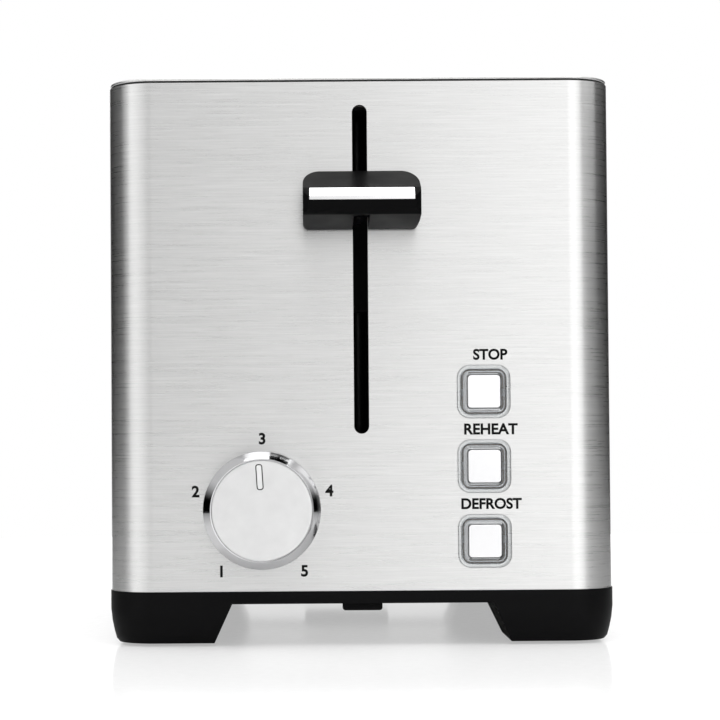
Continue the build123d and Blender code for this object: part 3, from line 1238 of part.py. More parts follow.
PIECES = {
    "outer_shell": outer_shell,
    "seam_strip": seam_strip,
    "top_cover": top_cover,
    "top_gasket": top_gasket,
    "base_frame": base_frame,
    "foot_pads": foot_pads,
    "base_screws": base_screws,
    "crumb_tray": crumb_tray,
    "push_tab": push_tab,
    "tray_handle": tray_handle,
    "front_bulkhead": front_bulkhead,
    "rear_bulkhead": rear_bulkhead,
    "chassis_rails": chassis_rails,
    "top_tie_bars": top_tie_bars,
    "side_reflectors": side_reflectors,
    "centre_divider": centre_divider,
    "mica_boards_left": lambda: mica_boards(-1),
    "mica_boards_right": lambda: mica_boards(1),
    "heating_ribbons_left": lambda: heating_ribbons(-1),
    "heating_ribbons_right": lambda: heating_ribbons(1),
    "guard_left_outer": lambda: guard(-1, -1),
    "guard_left_inner": lambda: guard(-1, 1),
    "guard_right_inner": lambda: guard(1, -1),
    "guard_right_outer": lambda: guard(1, 1),
    "guide_rod": guide_rod,
    "rod_bracket": rod_bracket,
    "lift_spring": lift_spring,
    "carriage_slider": carriage_slider,
    "carriage_plate": carriage_plate,
    "lever_arm": lever_arm,
    "lever_knob": lever_knob,
    "lever_trim": lever_trim,
    "bread_rack_left": lambda: bread_rack(-1),
    "bread_rack_right": lambda: bread_rack(1),
    "armature_plate": armature_plate,
    "contact_pusher": contact_pusher,
    "magnet_core": magnet_core,
    "magnet_coil": magnet_coil,
    "contact_block": contact_block,
    "contact_leaves": contact_leaves,
    "dial_bracket": dial_bracket,
    "control_board": lambda: board(CONTROL_BOARD_X, CONTROL_BOARD_DEPTH),
    "potentiometer": potentiometer,
    "board_components": board_components,
    "pot_shaft": pot_shaft,
    "dial_skirt": dial_skirt,
    "dial_face": dial_face,
    "dial_hub": dial_hub,
    "button_guide": button_guide,
    "button_board": lambda: board(BUTTON_BOARD_X, BUTTON_BOARD_DEPTH),
    "light_rings": light_rings,
    "button_stop": lambda: button(BUTTON_HEIGHTS[0]),
    "button_reheat": lambda: button(BUTTON_HEIGHTS[1]),
    "button_defrost": lambda: button(BUTTON_HEIGHTS[2]),
    "tact_switches": tact_switches,
    "ring_leds": ring_leds,
    "board_screws": board_screws,
    "ribbon_cable": ribbon_cable,
    "cord_gland": cord_gland,
    "supply_wires": supply_wires,
}

os.makedirs("parts", exist_ok=True)
for name, build in PIECES.items():
    export_step(build(), f"parts/{name}.step")
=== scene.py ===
"""Looks for a long two-slot pop-up toaster, built around its fixed CAD frame.

Every piece is in metres in the frame's own axes: +Z is up, the floor is z = 0, +X is to the right
of someone facing the controls, and +Y runs from the control end to the rear.
"""

from __future__ import annotations

import json
import logging
import math
from collections.abc import Callable, Iterator, Sequence
from contextlib import contextmanager
from dataclasses import dataclass, field
from enum import Enum

import bmesh
import bpy
from mathutils import Matrix, Vector

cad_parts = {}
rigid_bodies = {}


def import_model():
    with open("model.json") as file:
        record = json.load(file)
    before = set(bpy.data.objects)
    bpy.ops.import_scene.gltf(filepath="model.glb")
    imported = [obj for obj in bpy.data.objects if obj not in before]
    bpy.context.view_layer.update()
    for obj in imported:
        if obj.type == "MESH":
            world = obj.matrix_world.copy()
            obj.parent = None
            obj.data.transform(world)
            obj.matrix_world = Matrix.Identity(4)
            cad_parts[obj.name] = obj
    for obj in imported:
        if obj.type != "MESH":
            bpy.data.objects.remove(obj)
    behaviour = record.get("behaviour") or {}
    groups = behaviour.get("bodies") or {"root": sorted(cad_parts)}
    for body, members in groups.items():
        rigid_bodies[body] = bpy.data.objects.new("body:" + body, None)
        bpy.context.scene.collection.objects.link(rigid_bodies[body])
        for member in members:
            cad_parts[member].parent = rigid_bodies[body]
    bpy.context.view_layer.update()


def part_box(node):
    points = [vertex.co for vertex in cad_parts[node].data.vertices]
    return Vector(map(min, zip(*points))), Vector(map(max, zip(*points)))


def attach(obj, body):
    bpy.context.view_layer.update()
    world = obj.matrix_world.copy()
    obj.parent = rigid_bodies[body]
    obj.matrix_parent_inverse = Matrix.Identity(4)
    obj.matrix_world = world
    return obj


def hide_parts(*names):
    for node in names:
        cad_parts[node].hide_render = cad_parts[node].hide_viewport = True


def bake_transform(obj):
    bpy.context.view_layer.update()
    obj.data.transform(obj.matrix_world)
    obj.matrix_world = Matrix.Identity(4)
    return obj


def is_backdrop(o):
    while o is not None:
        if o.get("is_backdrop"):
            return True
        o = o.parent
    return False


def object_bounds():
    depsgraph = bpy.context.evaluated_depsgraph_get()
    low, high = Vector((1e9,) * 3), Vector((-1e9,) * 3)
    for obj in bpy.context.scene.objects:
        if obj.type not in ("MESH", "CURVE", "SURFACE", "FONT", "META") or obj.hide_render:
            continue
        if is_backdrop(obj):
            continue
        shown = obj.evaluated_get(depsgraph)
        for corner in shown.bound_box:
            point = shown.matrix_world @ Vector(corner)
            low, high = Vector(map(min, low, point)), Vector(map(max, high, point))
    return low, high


LOG = logging.getLogger("toaster")
MM = 0.001
BUTTON_NODES = ("button_stop", "button_reheat", "button_defrost")
Point = tuple[float, float, float]


# ------------------------------------------------------------------ bench tools
class Element(Enum):
    """What an edit-mode selection is made of."""

    VERT = "VERT"
    EDGE = "EDGE"
    FACE = "FACE"


class Axis(Enum):
    """A row axis, by its index in a vector."""

    X = 0
    Y = 1
    Z = 2


def activate(piece: bpy.types.Object) -> None:
    """Make one object the only selected and active one."""
    bpy.ops.object.select_all(action="DESELECT")
    piece.select_set(True)
    bpy.context.view_layer.objects.active = piece


def settle(piece: bpy.types.Object) -> bpy.types.Object:
    """Move an object's place, turn and scale into its mesh."""
    activate(piece)
    bpy.ops.object.transform_apply(location=True, rotation=True, scale=True)
    return piece


@contextmanager
def editing(piece: bpy.types.Object) -> Iterator[bpy.types.Object]:
    """Open a mesh in edit mode with everything selected, and close it again."""
    activate(piece)
    bpy.ops.object.mode_set(mode="EDIT")
    bpy.ops.mesh.select_all(action="SELECT")
    yield piece
    bpy.ops.object.mode_set(mode="OBJECT")


def choose(piece: bpy.types.Object, element: Element, test: Callable[[object], bool]) -> int:
    """Select the elements that pass a test, in edit mode.

    Args:
        piece: The object being edited.
        element: Whether to look at vertices, edges or faces.
        test: Says of one bmesh element whether it is wanted.

    Returns:
        How many were selected.
    """
    bpy.ops.mesh.select_mode(type=element.value)
    bpy.ops.mesh.select_all(action="DESELECT")
    mesh = bmesh.from_edit_mesh(piece.data)
    rows = {Element.VERT: mesh.verts, Element.EDGE: mesh.edges, Element.FACE: mesh.faces}[element]
    chosen = [row for row in rows if test(row)]
    for row in chosen:
        row.select_set(True)
    bmesh.update_edit_mesh(piece.data)
    return len(chosen)


def runs_along(axis: Axis) -> Callable[[bmesh.types.BMEdge], bool]:
    """Test for edges that run along an axis."""
    return lambda edge: abs((edge.verts[1].co - edge.verts[0].co).normalized()[axis.value]) > 0.999


def faces_towards(axis: Axis, sign: int) -> Callable[[bmesh.types.BMFace], bool]:
    """Test for faces whose normal points along an axis, one way."""
    return lambda face: face.normal[axis.value] * sign > 0.999


def add_block(name: str, low: Sequence[float], high: Sequence[float]) -> bpy.types.Object:
    """Add a cube at its size and place.

    Args:
        name: The new object's name.
        low: Its lowest corner.
        high: Its highest corner.

    Returns:
        The object, with its place in its mesh.
    """
    low, high = Vector(low), Vector(high)
    bpy.ops.mesh.primitive_cube_add(size=1, location=(low + high) / 2)
    piece = bpy.context.object
    piece.name = name
    piece.scale = high - low
    return settle(piece)


def middle_of(node: str) -> Vector:
    """The middle of a CAD node's box."""
    low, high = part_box(node)
    return (low + high) / 2


def join(parts: Sequence[bpy.types.Object], name: str) -> bpy.types.Object:
    """Make one object of several, under a new name."""
    bpy.ops.object.select_all(action="DESELECT")
    for part in parts:
        part.select_set(True)
    bpy.context.view_layer.objects.active = parts[0]
    bpy.ops.object.join()
    parts[0].name = name
    return parts[0]


def pull(distance: float) -> None:
    """Extrude what is selected along Y, in edit mode."""
    bpy.ops.mesh.extrude_region_move(TRANSFORM_OT_translate={"value": (0, distance, 0)})


def rounded_block(
    name: str, low: Sequence[float], high: Sequence[float], axis: Axis, radius: float, segments: int = 8
) -> bpy.types.Object:
    """Add a block whose four edges along an axis are rounded.

    Args:
        name: The new object's name.
        low: Its lowest corner.
        high: Its highest corner.
        axis: The axis that the rounded edges run along.
        radius: Their radius.
        segments: How many flats make each quarter round.

    Returns:
        The new object.
    """
    piece = add_block(name, low, high)
    with editing(piece):
        choose(piece, Element.EDGE, runs_along(axis))
        bpy.ops.mesh.bevel(offset=radius, segments=segments, affect="EDGES")
    return piece


def square_block(
    name: str, centre: Vector, size: float, ends: tuple[float, float], radius: float, segments: int
) -> bpy.types.Object:
    """Add a rounded block along Y, square about a centre in x and z, between two ends."""
    half = size / 2
    low = (centre.x - half, ends[0], centre.z - half)
    high = (centre.x + half, ends[1], centre.z + half)
    return rounded_block(name, low, high, Axis.Y, radius, segments)


def add_modifier(piece: bpy.types.Object, kind: str, **settings: object) -> None:
    """Add one modifier with its settings and apply it."""
    activate(piece)
    bpy.ops.object.modifier_add(type=kind)
    modifier = piece.modifiers[-1]
    for key, value in settings.items():
        setattr(modifier, key, value)
    bpy.ops.object.modifier_apply(modifier=modifier.name)


def carve(piece: bpy.types.Object, cutter: bpy.types.Object, operation: str = "DIFFERENCE") -> None:
    """Cut one solid from another, or join it on, and throw the tool away."""
    add_modifier(piece, "BOOLEAN", operation=operation, object=cutter, solver="EXACT")
    bpy.data.objects.remove(cutter)


def break_edges(piece: bpy.types.Object, width: float, segments: int = 2, angle: float = 38.0) -> None:
    """Give every sharp edge a small round, then shade the piece smooth.

    Args:
        piece: The object to finish.
        width: The round's width.
        segments: How many flats make the round.
        angle: Edges sharper than this many degrees are rounded.
    """
    limit = math.radians(angle)
    add_modifier(
        piece, "BEVEL", width=width, segments=segments, limit_method="ANGLE", angle_limit=limit,
        use_clamp_overlap=True, harden_normals=False,
    )
    smooth(piece, angle)


def smooth(piece: bpy.types.Object, angle: float = 38.0) -> None:
    """Shade smooth up to an angle, with flat faces kept flat."""
    activate(piece)
    bpy.ops.object.shade_smooth_by_angle(angle=math.radians(angle))
    add_modifier(piece, "WEIGHTED_NORMAL", keep_sharp=True, weight=80)


def face_outwards(piece: bpy.types.Object) -> None:
    """Merge doubled points and turn every face outwards."""
    with editing(piece):
        bpy.ops.mesh.remove_doubles(threshold=1e-6)
        bpy.ops.mesh.select_all(action="SELECT")
        bpy.ops.mesh.normals_make_consistent(inside=False)


def lathe(
    name: str, centre: tuple[float, float], profile: Sequence[tuple[float, float]], closed: bool,
    segments: int = 96,
) -> bpy.types.Object:
    """Turn a profile about an axis along Y.

    Args:
        name: The new object's name.
        centre: The axis's x and z.
        profile: Points of (radius, y), from one end to the other.
        closed: Whether the last ring joins the first. Otherwise both ends are capped.
        segments: How many flats make the round.

    Returns:
        The new object, facing outwards.
    """
    radius, depth = profile[0]
    bpy.ops.mesh.primitive_circle_add(
        vertices=segments, radius=radius, location=(centre[0], depth, centre[1]), rotation=(math.pi / 2, 0, 0)
    )
    piece = bpy.context.object
    piece.name = name
    settle(piece)
    with editing(piece):
        bpy.ops.mesh.select_mode(type="EDGE")
        for wide, place in profile[1:]:
            pull(place - depth)
            ratio = wide / radius
            middle = (centre[0], place, centre[1])
            bpy.ops.transform.resize(value=(ratio, 1, ratio), center_override=middle)
            radius, depth = wide, place
        if closed:
            choose(piece, Element.EDGE, lambda edge: edge.is_boundary)
            bpy.ops.mesh.bridge_edge_loops()
        else:
            for _ in range(2):
                choose(piece, Element.EDGE, lambda edge: edge.is_boundary)
                bpy.ops.mesh.fill_holes(sides=0)
    face_outwards(piece)
    return piece


def bore(piece: bpy.types.Object, node: str, wide: float, wall: float, reach: float) -> None:
    """Cut a round hole on a node's axis, through the wall at a depth."""
    middle = middle_of(node)
    ends = [(wide / 2, wall - reach), (wide / 2, wall + reach)]
    carve(piece, lathe("bore_tool", (middle.x, middle.z), ends, False, 48))


def copy_of(node: str, name: str) -> bpy.types.Object:
    """Copy a CAD node's mesh into a new piece, with its loose triangles welded and its flats whole."""
    source = bpy.data.objects[node]
    mesh = source.data.copy()
    piece = bpy.data.objects.new(name, mesh)
    bpy.context.scene.collection.objects.link(piece)
    activate(piece)
    mesh.materials.clear()
    if mesh.has_custom_normals:
        bpy.ops.mesh.customdata_custom_splitnormals_clear()
    with editing(piece):
        bpy.ops.mesh.remove_doubles(threshold=2e-6)
        bpy.ops.mesh.select_all(action="SELECT")
        bpy.ops.mesh.dissolve_limited(angle_limit=math.radians(0.6))
    return piece


# ------------------------------------------------------------------ finishes
class Nodes:
    """A node tree, with short calls that add and join its nodes."""

    def __init__(self, tree: bpy.types.NodeTree) -> None:
        """Work on one tree."""
        self.tree = tree

    def node(self, kind: str, **settings: object) -> bpy.types.Node:
        """Add one node with its properties."""
        added = self.tree.nodes.new(kind)
        for key, value in settings.items():
            setattr(added, key, value)
        return added

    def link(self, start: bpy.types.NodeSocket, end: bpy.types.NodeSocket) -> None:
        """Join two sockets."""
        self.tree.links.new(start, end)

    def spread(
        self, source: bpy.types.NodeSocket, reach: tuple[float, float],
        onto: tuple[float, float] = (0.0, 1.0), kind: str = "LINEAR",
    ) -> bpy.types.NodeSocket:
        """Map a value from one range onto another, held at its ends."""
        made = self.node("ShaderNodeMapRange", interpolation_type=kind)
        for name, value in zip(("From Min", "From Max", "To Min", "To Max"), (*reach, *onto)):
            made.inputs[name].default_value = value
        self.link(source, made.inputs["Value"])
        return made.outputs["Result"]

    def ramp(
        self, source: bpy.types.NodeSocket, stops: Sequence[tuple[float, float]]
    ) -> bpy.types.NodeSocket:
        """A smooth grey ramp with a stop at each (position, level)."""
        made = self.node("ShaderNodeValToRGB")
        bar = made.color_ramp
        bar.interpolation = "EASE"
        while len(bar.elements) < len(stops):
            bar.elements.new(1.0)
        for element, (place, level) in zip(bar.elements, stops):
            element.position = place
            element.color = (level, level, level, 1)
        self.link(source, made.inputs["Fac"])
        return made.outputs["Color"]


class Sheet(Nodes):
    """A material, with short calls for the nodes that the finishes share."""

    usual: tuple[float, float] = (0.3, 0.7)

    def __init__(self, name: str) -> None:
        """Start a material that has one shader."""
        self.material = bpy.data.materials.new(name)
        self.material.use_nodes = True
        super().__init__(self.material.node_tree)
        self.shader = self.tree.nodes["Principled BSDF"]

    def set(self, **values: object) -> None:
        """Set the shader's own sockets; a name's underscores stand for spaces."""
        for key, value in values.items():
            self.shader.inputs[key.replace("_", " ")].default_value = value

    def place(self, scale: Point, shift: Point = (0, 0, 0)) -> bpy.types.NodeSocket:
        """Object coordinates, moved by shift and then stretched by scale."""
        coordinates = self.node("ShaderNodeTexCoord")
        centre = self.node("ShaderNodeMapping", vector_type="POINT")
        centre.inputs["Location"].default_value = shift
        self.link(coordinates.outputs["Object"], centre.inputs["Vector"])
        stretch = self.node("ShaderNodeMapping", vector_type="POINT")
        stretch.inputs["Scale"].default_value = scale
        self.link(centre.outputs["Vector"], stretch.inputs["Vector"])
        return stretch.outputs["Vector"]

    def noise(
        self, place: bpy.types.NodeSocket, detail: float = 2.0, roughness: float = 0.5
    ) -> bpy.types.NodeSocket:
        """Noise with one cell to each unit of the place."""
        texture = self.node("ShaderNodeTexNoise")
        texture.inputs["Scale"].default_value = 1.0
        texture.inputs["Detail"].default_value = detail
        texture.inputs["Roughness"].default_value = roughness
        self.link(place, texture.inputs["Vector"])
        return texture.outputs["Fac"]

    def gloss(self, source: bpy.types.NodeSocket, low: float, high: float) -> None:
        """Let a noise move the roughness between two values."""
        self.link(self.spread(source, self.usual, (low, high)), self.shader.inputs["Roughness"])

    def tint(self, source: bpy.types.NodeSocket, dark: Point, light: Point) -> None:
        """Colour the shader between two tones by a noise."""
        ramp = self.node("ShaderNodeValToRGB")
        for element, place, tone in zip(ramp.color_ramp.elements, self.usual, (dark, light)):
            element.position = place
            element.color = (*tone, 1)
        self.link(source, ramp.inputs["Fac"])
        self.link(ramp.outputs["Color"], self.shader.inputs["Base Color"])

    def bump(self, heights: Sequence[tuple[bpy.types.NodeSocket, float]]) -> None:
        """Raise the surface by each (source, height in metres) in turn."""
        normal = None
        for source, height in heights:
            bump = self.node("ShaderNodeBump")
            bump.inputs["Strength"].default_value = 1.0
            bump.inputs["Distance"].default_value = height
            self.link(source, bump.inputs["Height"])
            if normal is not None:
                self.link(normal, bump.inputs["Normal"])
            normal = bump.outputs["Normal"]
        self.link(normal, self.shader.inputs["Normal"])


def shade(colour: Point, factor: float) -> Point:
    """A colour made lighter or darker, and kept in range."""
    return tuple(min(1.0, part * factor) for part in colour)


@dataclass(frozen=True)
class Moulded:
    """Plastic, rubber, board or plain metal: one tone with mottling, fine grain and uneven gloss."""

    name: str
    colour: Point
    roughness: float
    metallic: float = 0.0
    mottle: float = 0.12
    mottle_size: float = 0.012
    grain_size: float = 0.0006
    grain_height: float = 0.00002
    unevenness: float = 0.06
    coat: float = 0.0
    specular: float = 0.5

    def material(self) -> bpy.types.Material:
        """Build the material."""
        sheet = Sheet(self.name)
        sheet.set(Metallic=self.metallic, Coat_Weight=self.coat, Specular_IOR_Level=self.specular)
        broad = sheet.noise(sheet.place((1 / self.mottle_size,) * 3), 4.0)
        fine = sheet.noise(sheet.place((1 / self.grain_size,) * 3), 1.0)
        sheet.tint(broad, shade(self.colour, 1 - self.mottle), shade(self.colour, 1 + self.mottle))
        sheet.gloss(broad, self.roughness - self.unevenness, self.roughness + self.unevenness)
        sheet.bump([(fine, self.grain_height)])
        return sheet.material


@dataclass(frozen=True)
class Brushed:
    """Brushed sheet: fine scratches that run one way, seen in its tone, its gloss and its surface."""

    name: str
    colour: Point
    roughness: float
    stroke: Point = (0.022, 0.022, 0.00038)
    streak: Point = (0.060, 0.060, 0.0011)
    depth: float = 0.0000016
    contrast: float = 0.085
    grain: float = 0.75
    tangent: Axis = Axis.Z
    spread: float = 0.25

    def material(self) -> bpy.types.Material:
        """Build the material."""
        sheet = Sheet(self.name)
        sheet.set(Metallic=1.0, Anisotropic=self.grain, Anisotropic_Rotation=self.spread)
        fine = sheet.noise(sheet.place(tuple(1 / size for size in self.stroke)), 3.0, 0.7)
        broad = sheet.noise(sheet.place(tuple(1 / size for size in self.streak)), 3.0, 0.6)
        mixed = sheet.node("ShaderNodeMix")
        mixed.inputs["Factor"].default_value = 0.16
        sheet.link(fine, mixed.inputs["A"])
        sheet.link(broad, mixed.inputs["B"])
        tone = mixed.outputs["Result"]
        sheet.tint(tone, shade(self.colour, 1 - self.contrast), shade(self.colour, 1 + self.contrast))
        sheet.gloss(tone, self.roughness - 0.03, self.roughness + 0.03)
        tangent = sheet.node("ShaderNodeTangent", direction_type="RADIAL", axis=self.tangent.name)
        sheet.link(tangent.outputs["Tangent"], sheet.shader.inputs["Tangent"])
        sheet.bump([(fine, self.depth), (broad, self.depth * 2)])
        return sheet.material


@dataclass(frozen=True)
class Spun:
    """Metal turned on a lathe: fine rings about one axis along Y."""

    name: str
    colour: Point
    roughness: float
    centre: Point
    pitch: float = 0.00035
    depth: float = 0.0000008

    def material(self) -> bpy.types.Material:
        """Build the material."""
        sheet = Sheet(self.name)
        sheet.set(Metallic=1.0)
        shift = tuple(-part for part in self.centre)
        rings = sheet.node("ShaderNodeTexWave", wave_type="RINGS", rings_direction="Y", wave_profile="SIN")
        rings.inputs["Scale"].default_value = 1.0
        rings.inputs["Distortion"].default_value = 0.6
        rings.inputs["Detail"].default_value = 2.0
        sheet.link(sheet.place((1 / self.pitch / 20,) * 3, shift), rings.inputs["Vector"])
        broad = sheet.noise(sheet.place((180.0,) * 3), 3.0)
        sheet.tint(broad, shade(self.colour, 0.97), shade(self.colour, 1.03))
        sheet.gloss(broad, self.roughness - 0.03, self.roughness + 0.03)
        sheet.bump([(rings.outputs["Fac"], self.depth)])
        return sheet.material


@dataclass(frozen=True)
class Plated:
    """Chrome plate: bright, with faint ripples and hairline scratches."""

    name: str
    colour: Point
    roughness: float

    def material(self) -> bpy.types.Material:
        """Build the material."""
        sheet = Sheet(self.name)
        sheet.set(Metallic=1.0)
        ripple = sheet.noise(sheet.place((160.0,) * 3), 1.0)
        scratch = sheet.noise(sheet.place((2600.0, 900.0, 240.0)), 2.0, 0.7)
        sheet.tint(ripple, shade(self.colour, 0.97), shade(self.colour, 1.02))
        sheet.gloss(scratch, self.roughness * 0.7, self.roughness * 1.4)
        sheet.bump([(ripple, 0.000012), (scratch, 0.0000002)])
        return sheet.material


@dataclass(frozen=True)
class Clear:
    """Clear acrylic with faint flow marks from its mould."""

    name: str
    colour: Point
    roughness: float = 0.06

    def material(self) -> bpy.types.Material:
        """Build the material."""
        sheet = Sheet(self.name)
        sheet.set(Transmission_Weight=0.92, IOR=1.49)
        flow = sheet.noise(sheet.place((900.0, 300.0, 900.0)), 2.0)
        sheet.tint(flow, shade(self.colour, 0.95), self.colour)
        sheet.gloss(flow, self.roughness * 0.6, self.roughness * 1.6)
        sheet.bump([(flow, 0.00003)])
        return sheet.material


STEEL = (0.74, 0.74, 0.735)


class Finishes:
    """Every finish on the toaster, each built once."""

    def __init__(self, dial_centre: Point) -> None:
        """Build the materials; the dial's rings are centred on its axis."""
        lengthwise = {
            "stroke": (0.00038, 0.022, 0.022), "streak": (0.0016, 0.09, 0.09),
            "tangent": Axis.Y, "spread": 0.0,
        }
        smooth_black = {"mottle_size": 0.03, "grain_height": 0.000006, "specular": 0.05}
        glossy_black = {"mottle_size": 0.02, "grain_height": 0.000002, "specular": 0.03}
        rows = [
            Brushed("brushed_wrap", STEEL, 0.29),
            Brushed("brushed_cover", STEEL, 0.31, **lengthwise),
            Brushed("tray_sheet", (0.55, 0.55, 0.54), 0.38, **lengthwise),
            Moulded("galvanised_sheet", (0.50, 0.51, 0.51), 0.38, 1.0, 0.10, 0.007, 0.0009, 0.000003),
            Moulded("bright_reflector", (0.80, 0.80, 0.80), 0.20, 1.0, 0.04, 0.03, 0.003, 0.000006),
            Moulded("black_seal", (0.010, 0.010, 0.010), 0.70, grain_size=0.0004),
            Moulded("satin_black", (0.0045, 0.0045, 0.0048), 0.36, **smooth_black),
            Moulded("lever_black", (0.0035, 0.0035, 0.0037), 0.42, **glossy_black),
            Moulded("heatproof_black", (0.008, 0.008, 0.008), 0.60, specular=0.2),
            Moulded(
                "foot_rubber", (0.008, 0.008, 0.008), 0.78, grain_size=0.0005, grain_height=0.00004,
                specular=0.2,
            ),
            Moulded("zinc_plate", (0.55, 0.55, 0.52), 0.28, 1.0, 0.08, 0.004, 0.0006, 0.000003),
            Moulded("mica_board", (0.50, 0.44, 0.34), 0.42, 0.0, 0.22, 0.006, 0.0012, 0.00004, 0.12, 0.3),
            Moulded("oxidised_ribbon", (0.20, 0.16, 0.13), 0.45, 1.0, 0.25, 0.004),
            Moulded("magnet_iron", (0.20, 0.20, 0.21), 0.45, 1.0),
            Moulded("copper_winding", (0.50, 0.20, 0.09), 0.35, 0.8, 0.15, 0.003),
            Moulded("contact_copper", (0.75, 0.42, 0.24), 0.28, 1.0, 0.10, 0.004),
            Moulded("paper_laminate", (0.30, 0.17, 0.07), 0.50, 0.0, 0.12, 0.01),
            Moulded("component_case", (0.035, 0.035, 0.040), 0.45),
            Moulded("cable_grey", (0.40, 0.40, 0.40), 0.45),
            Moulded("glass_sleeve", (0.58, 0.53, 0.42), 0.75, 0.0, 0.15, 0.002, 0.0005, 0.00008),
            Moulded("printed_black", (0.004, 0.004, 0.004), 0.60, grain_height=0.000001, specular=0.1),
            Moulded("pointer_white", (0.86, 0.86, 0.86), 0.30, grain_height=0.000001),
            Moulded("button_bright", (0.93, 0.93, 0.94), 0.14, 0.5, 0.01, 0.02, 0.002, 0.0000005, 0.02),
            Moulded("lamp_lens", (0.80, 0.80, 0.82), 0.20, grain_height=0.000001),
            Plated("bright_chrome", (0.88, 0.88, 0.89), 0.06),
            # darker chrome for the dial skirt: painted shade standing in for the dark reflection of the panel
            # round the dial
            Plated("painted_shade_chrome", (0.62, 0.62, 0.63), 0.07),
            # the next two finishes are near-black metals: painted shade on the guide rod, rod bracket and
            # front bulkhead where they show through the lever slot
            Plated("painted_shade_rod", (0.05, 0.05, 0.05), 0.45),
            Moulded("painted_shade_steel", (0.035, 0.035, 0.036), 0.60, 1.0, 0.10, 0.007, 0.0009, 0.000003),
            Plated("plated_wire", (0.62, 0.62, 0.61), 0.20),
            Plated("spring_steel", (0.55, 0.55, 0.54), 0.18),
            Spun("spun_face", (0.80, 0.80, 0.80), 0.36, dial_centre),
            Clear("clear_acrylic", (0.93, 0.95, 0.96)),
        ]
        self.made = {row.name: row.material() for row in rows}

    def dress(self, piece: bpy.types.Object, name: str) -> None:
        """Give a piece one finish, in place of what it has."""
        if not piece.material_slots:
            piece.data.materials.append(self.made[name])
        for slot in piece.material_slots:
            slot.material = self.made[name]


# ------------------------------------------------------------------ shared base of the assemblies
@dataclass
class Assembly:
    """A group of pieces that is built, dressed and hung on the frame together."""

    finishes: Finishes

    def hang(
        self, piece: bpy.types.Object, body: str, finish: str, slot: str, *nodes: str
    ) -> bpy.types.Object:
        """Dress a finished piece, make it ride on a body and stand for its CAD nodes.

        Args:
            piece: The finished piece.
            body: The CAD body that it moves with.
            finish: The name of its finish.
            slot: The record's material slot; not used.
            nodes: The CAD nodes that it stands for, if any.

        Returns:
            The same piece.
        """
        self.finishes.dress(piece, finish)
        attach(piece, body)
        if nodes:
            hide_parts(*nodes)
        LOG.info("%s: %d faces on %s", piece.name, len(piece.data.polygons), body)
        return piece

    def weld(
        self, node: str, name: str, body: str, finish: str, slot: str, width: float, segments: int = 2
    ) -> bpy.types.Object:
        """Replace a CAD node by a welded copy of itself with rounded edges and smooth curves."""
        piece = copy_of(node, name)
        break_edges(piece, width, segments)
        return self.hang(piece, body, finish, slot, node)


@dataclass
class Housing(Assembly):
    """The steel wrap, its top cover and the seal between them."""

    corner_radius: float = 16 * MM
    wall: float = 0.6 * MM
    slot_width: float = 5.2 * MM
    slot_above: float = 189.1 * MM
    slot_below: float = 73.9 * MM
    shaft_hole: float = 9.0 * MM
    button_hole: float = 16.6 * MM
    button_corner: float = 3.6 * MM
    gland_hole: float = 12.2 * MM
    seam_gap: float = 0.3 * MM
    cover_inset_radius: float = 15.7 * MM
    bread_slot: tuple[float, float] = (34.0 * MM, 152.0 * MM)
    bread_offset: float = 31.0 * MM
    bread_slot_radius: float = 7.0 * MM
    throat_wall: float = 0.8 * MM
    cover_sheet: float = 1.0 * MM

    def build(self) -> None:
        """Build every piece of the housing."""
        self.wrap()
        self.cover()
        self.finishes.dress(bpy.data.objects["top_gasket"], "black_seal")
        self.finishes.dress(bpy.data.objects["seam_strip"], "galvanised_sheet")

    def wrap(self) -> None:
        """The brushed wrap with its slot, holes and rear seam."""
        low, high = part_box("outer_shell")
        piece = rounded_block("steel_wrap", low, high, Axis.Z, self.corner_radius, 24)
        with editing(piece):
            choose(piece, Element.FACE, lambda face: abs(face.normal.z) > 0.9)
            bpy.ops.mesh.delete(type="FACE")
        add_modifier(piece, "SOLIDIFY", thickness=self.wall, offset=-1.0, use_even_offset=True)
        front, rear = low.y, high.y
        reach = 3 * MM
        half = self.slot_width / 2
        slot = rounded_block(
            "slot_tool", (-half, front - reach, self.slot_below), (half, front + reach, self.slot_above),
            Axis.Y, half * 0.999, 12,
        )
        carve(piece, slot)
        bore(piece, "pot_shaft", self.shaft_hole, front, reach)
        for node in BUTTON_NODES:
            ends = (front - reach, front + reach)
            tool = square_block("button_tool", middle_of(node), self.button_hole, ends, self.button_corner, 6)
            carve(piece, tool)
        bore(piece, "cord_gland", self.gland_hole, rear, reach)
        seam = self.seam_gap / 2
        behind, beyond = (-seam, rear - reach, low.z - reach), (seam, rear + reach, high.z + reach)
        carve(piece, add_block("seam_tool", behind, beyond))
        break_edges(piece, 0.22 * MM, 2)
        self.hang(piece, "housing", "brushed_wrap", "brushed_steel", "outer_shell")

    def cover(self) -> None:
        """The top cover with two rolled bread openings and their throats."""
        low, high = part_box("top_cover")
        plate_bottom = high.z - self.cover_sheet
        piece = rounded_block(
            "top_cover_plate", (low.x, low.y, plate_bottom), high, Axis.Z, self.cover_inset_radius, 20
        )
        wide, long = self.bread_slot
        middle_y = middle_of("mica_boards_left").y
        for side in (-1, 1):
            x = side * self.bread_offset
            grow = self.throat_wall
            throat = rounded_block(
                "throat", (x - wide / 2 - grow, middle_y - long / 2 - grow, low.z),
                (x + wide / 2 + grow, middle_y + long / 2 + grow, high.z - 0.4 * MM),
                Axis.Z, self.bread_slot_radius + grow, 10,
            )
            carve(piece, throat, "UNION")
        for side in (-1, 1):
            x = side * self.bread_offset
            hole = rounded_block(
                "bread_tool", (x - wide / 2, middle_y - long / 2, low.z - wide),
                (x + wide / 2, middle_y + long / 2, high.z + wide), Axis.Z, self.bread_slot_radius, 10,
            )
            carve(piece, hole)
        break_edges(piece, 0.45 * MM, 3)
        self.hang(piece, "housing", "brushed_cover", "brushed_steel", "top_cover")


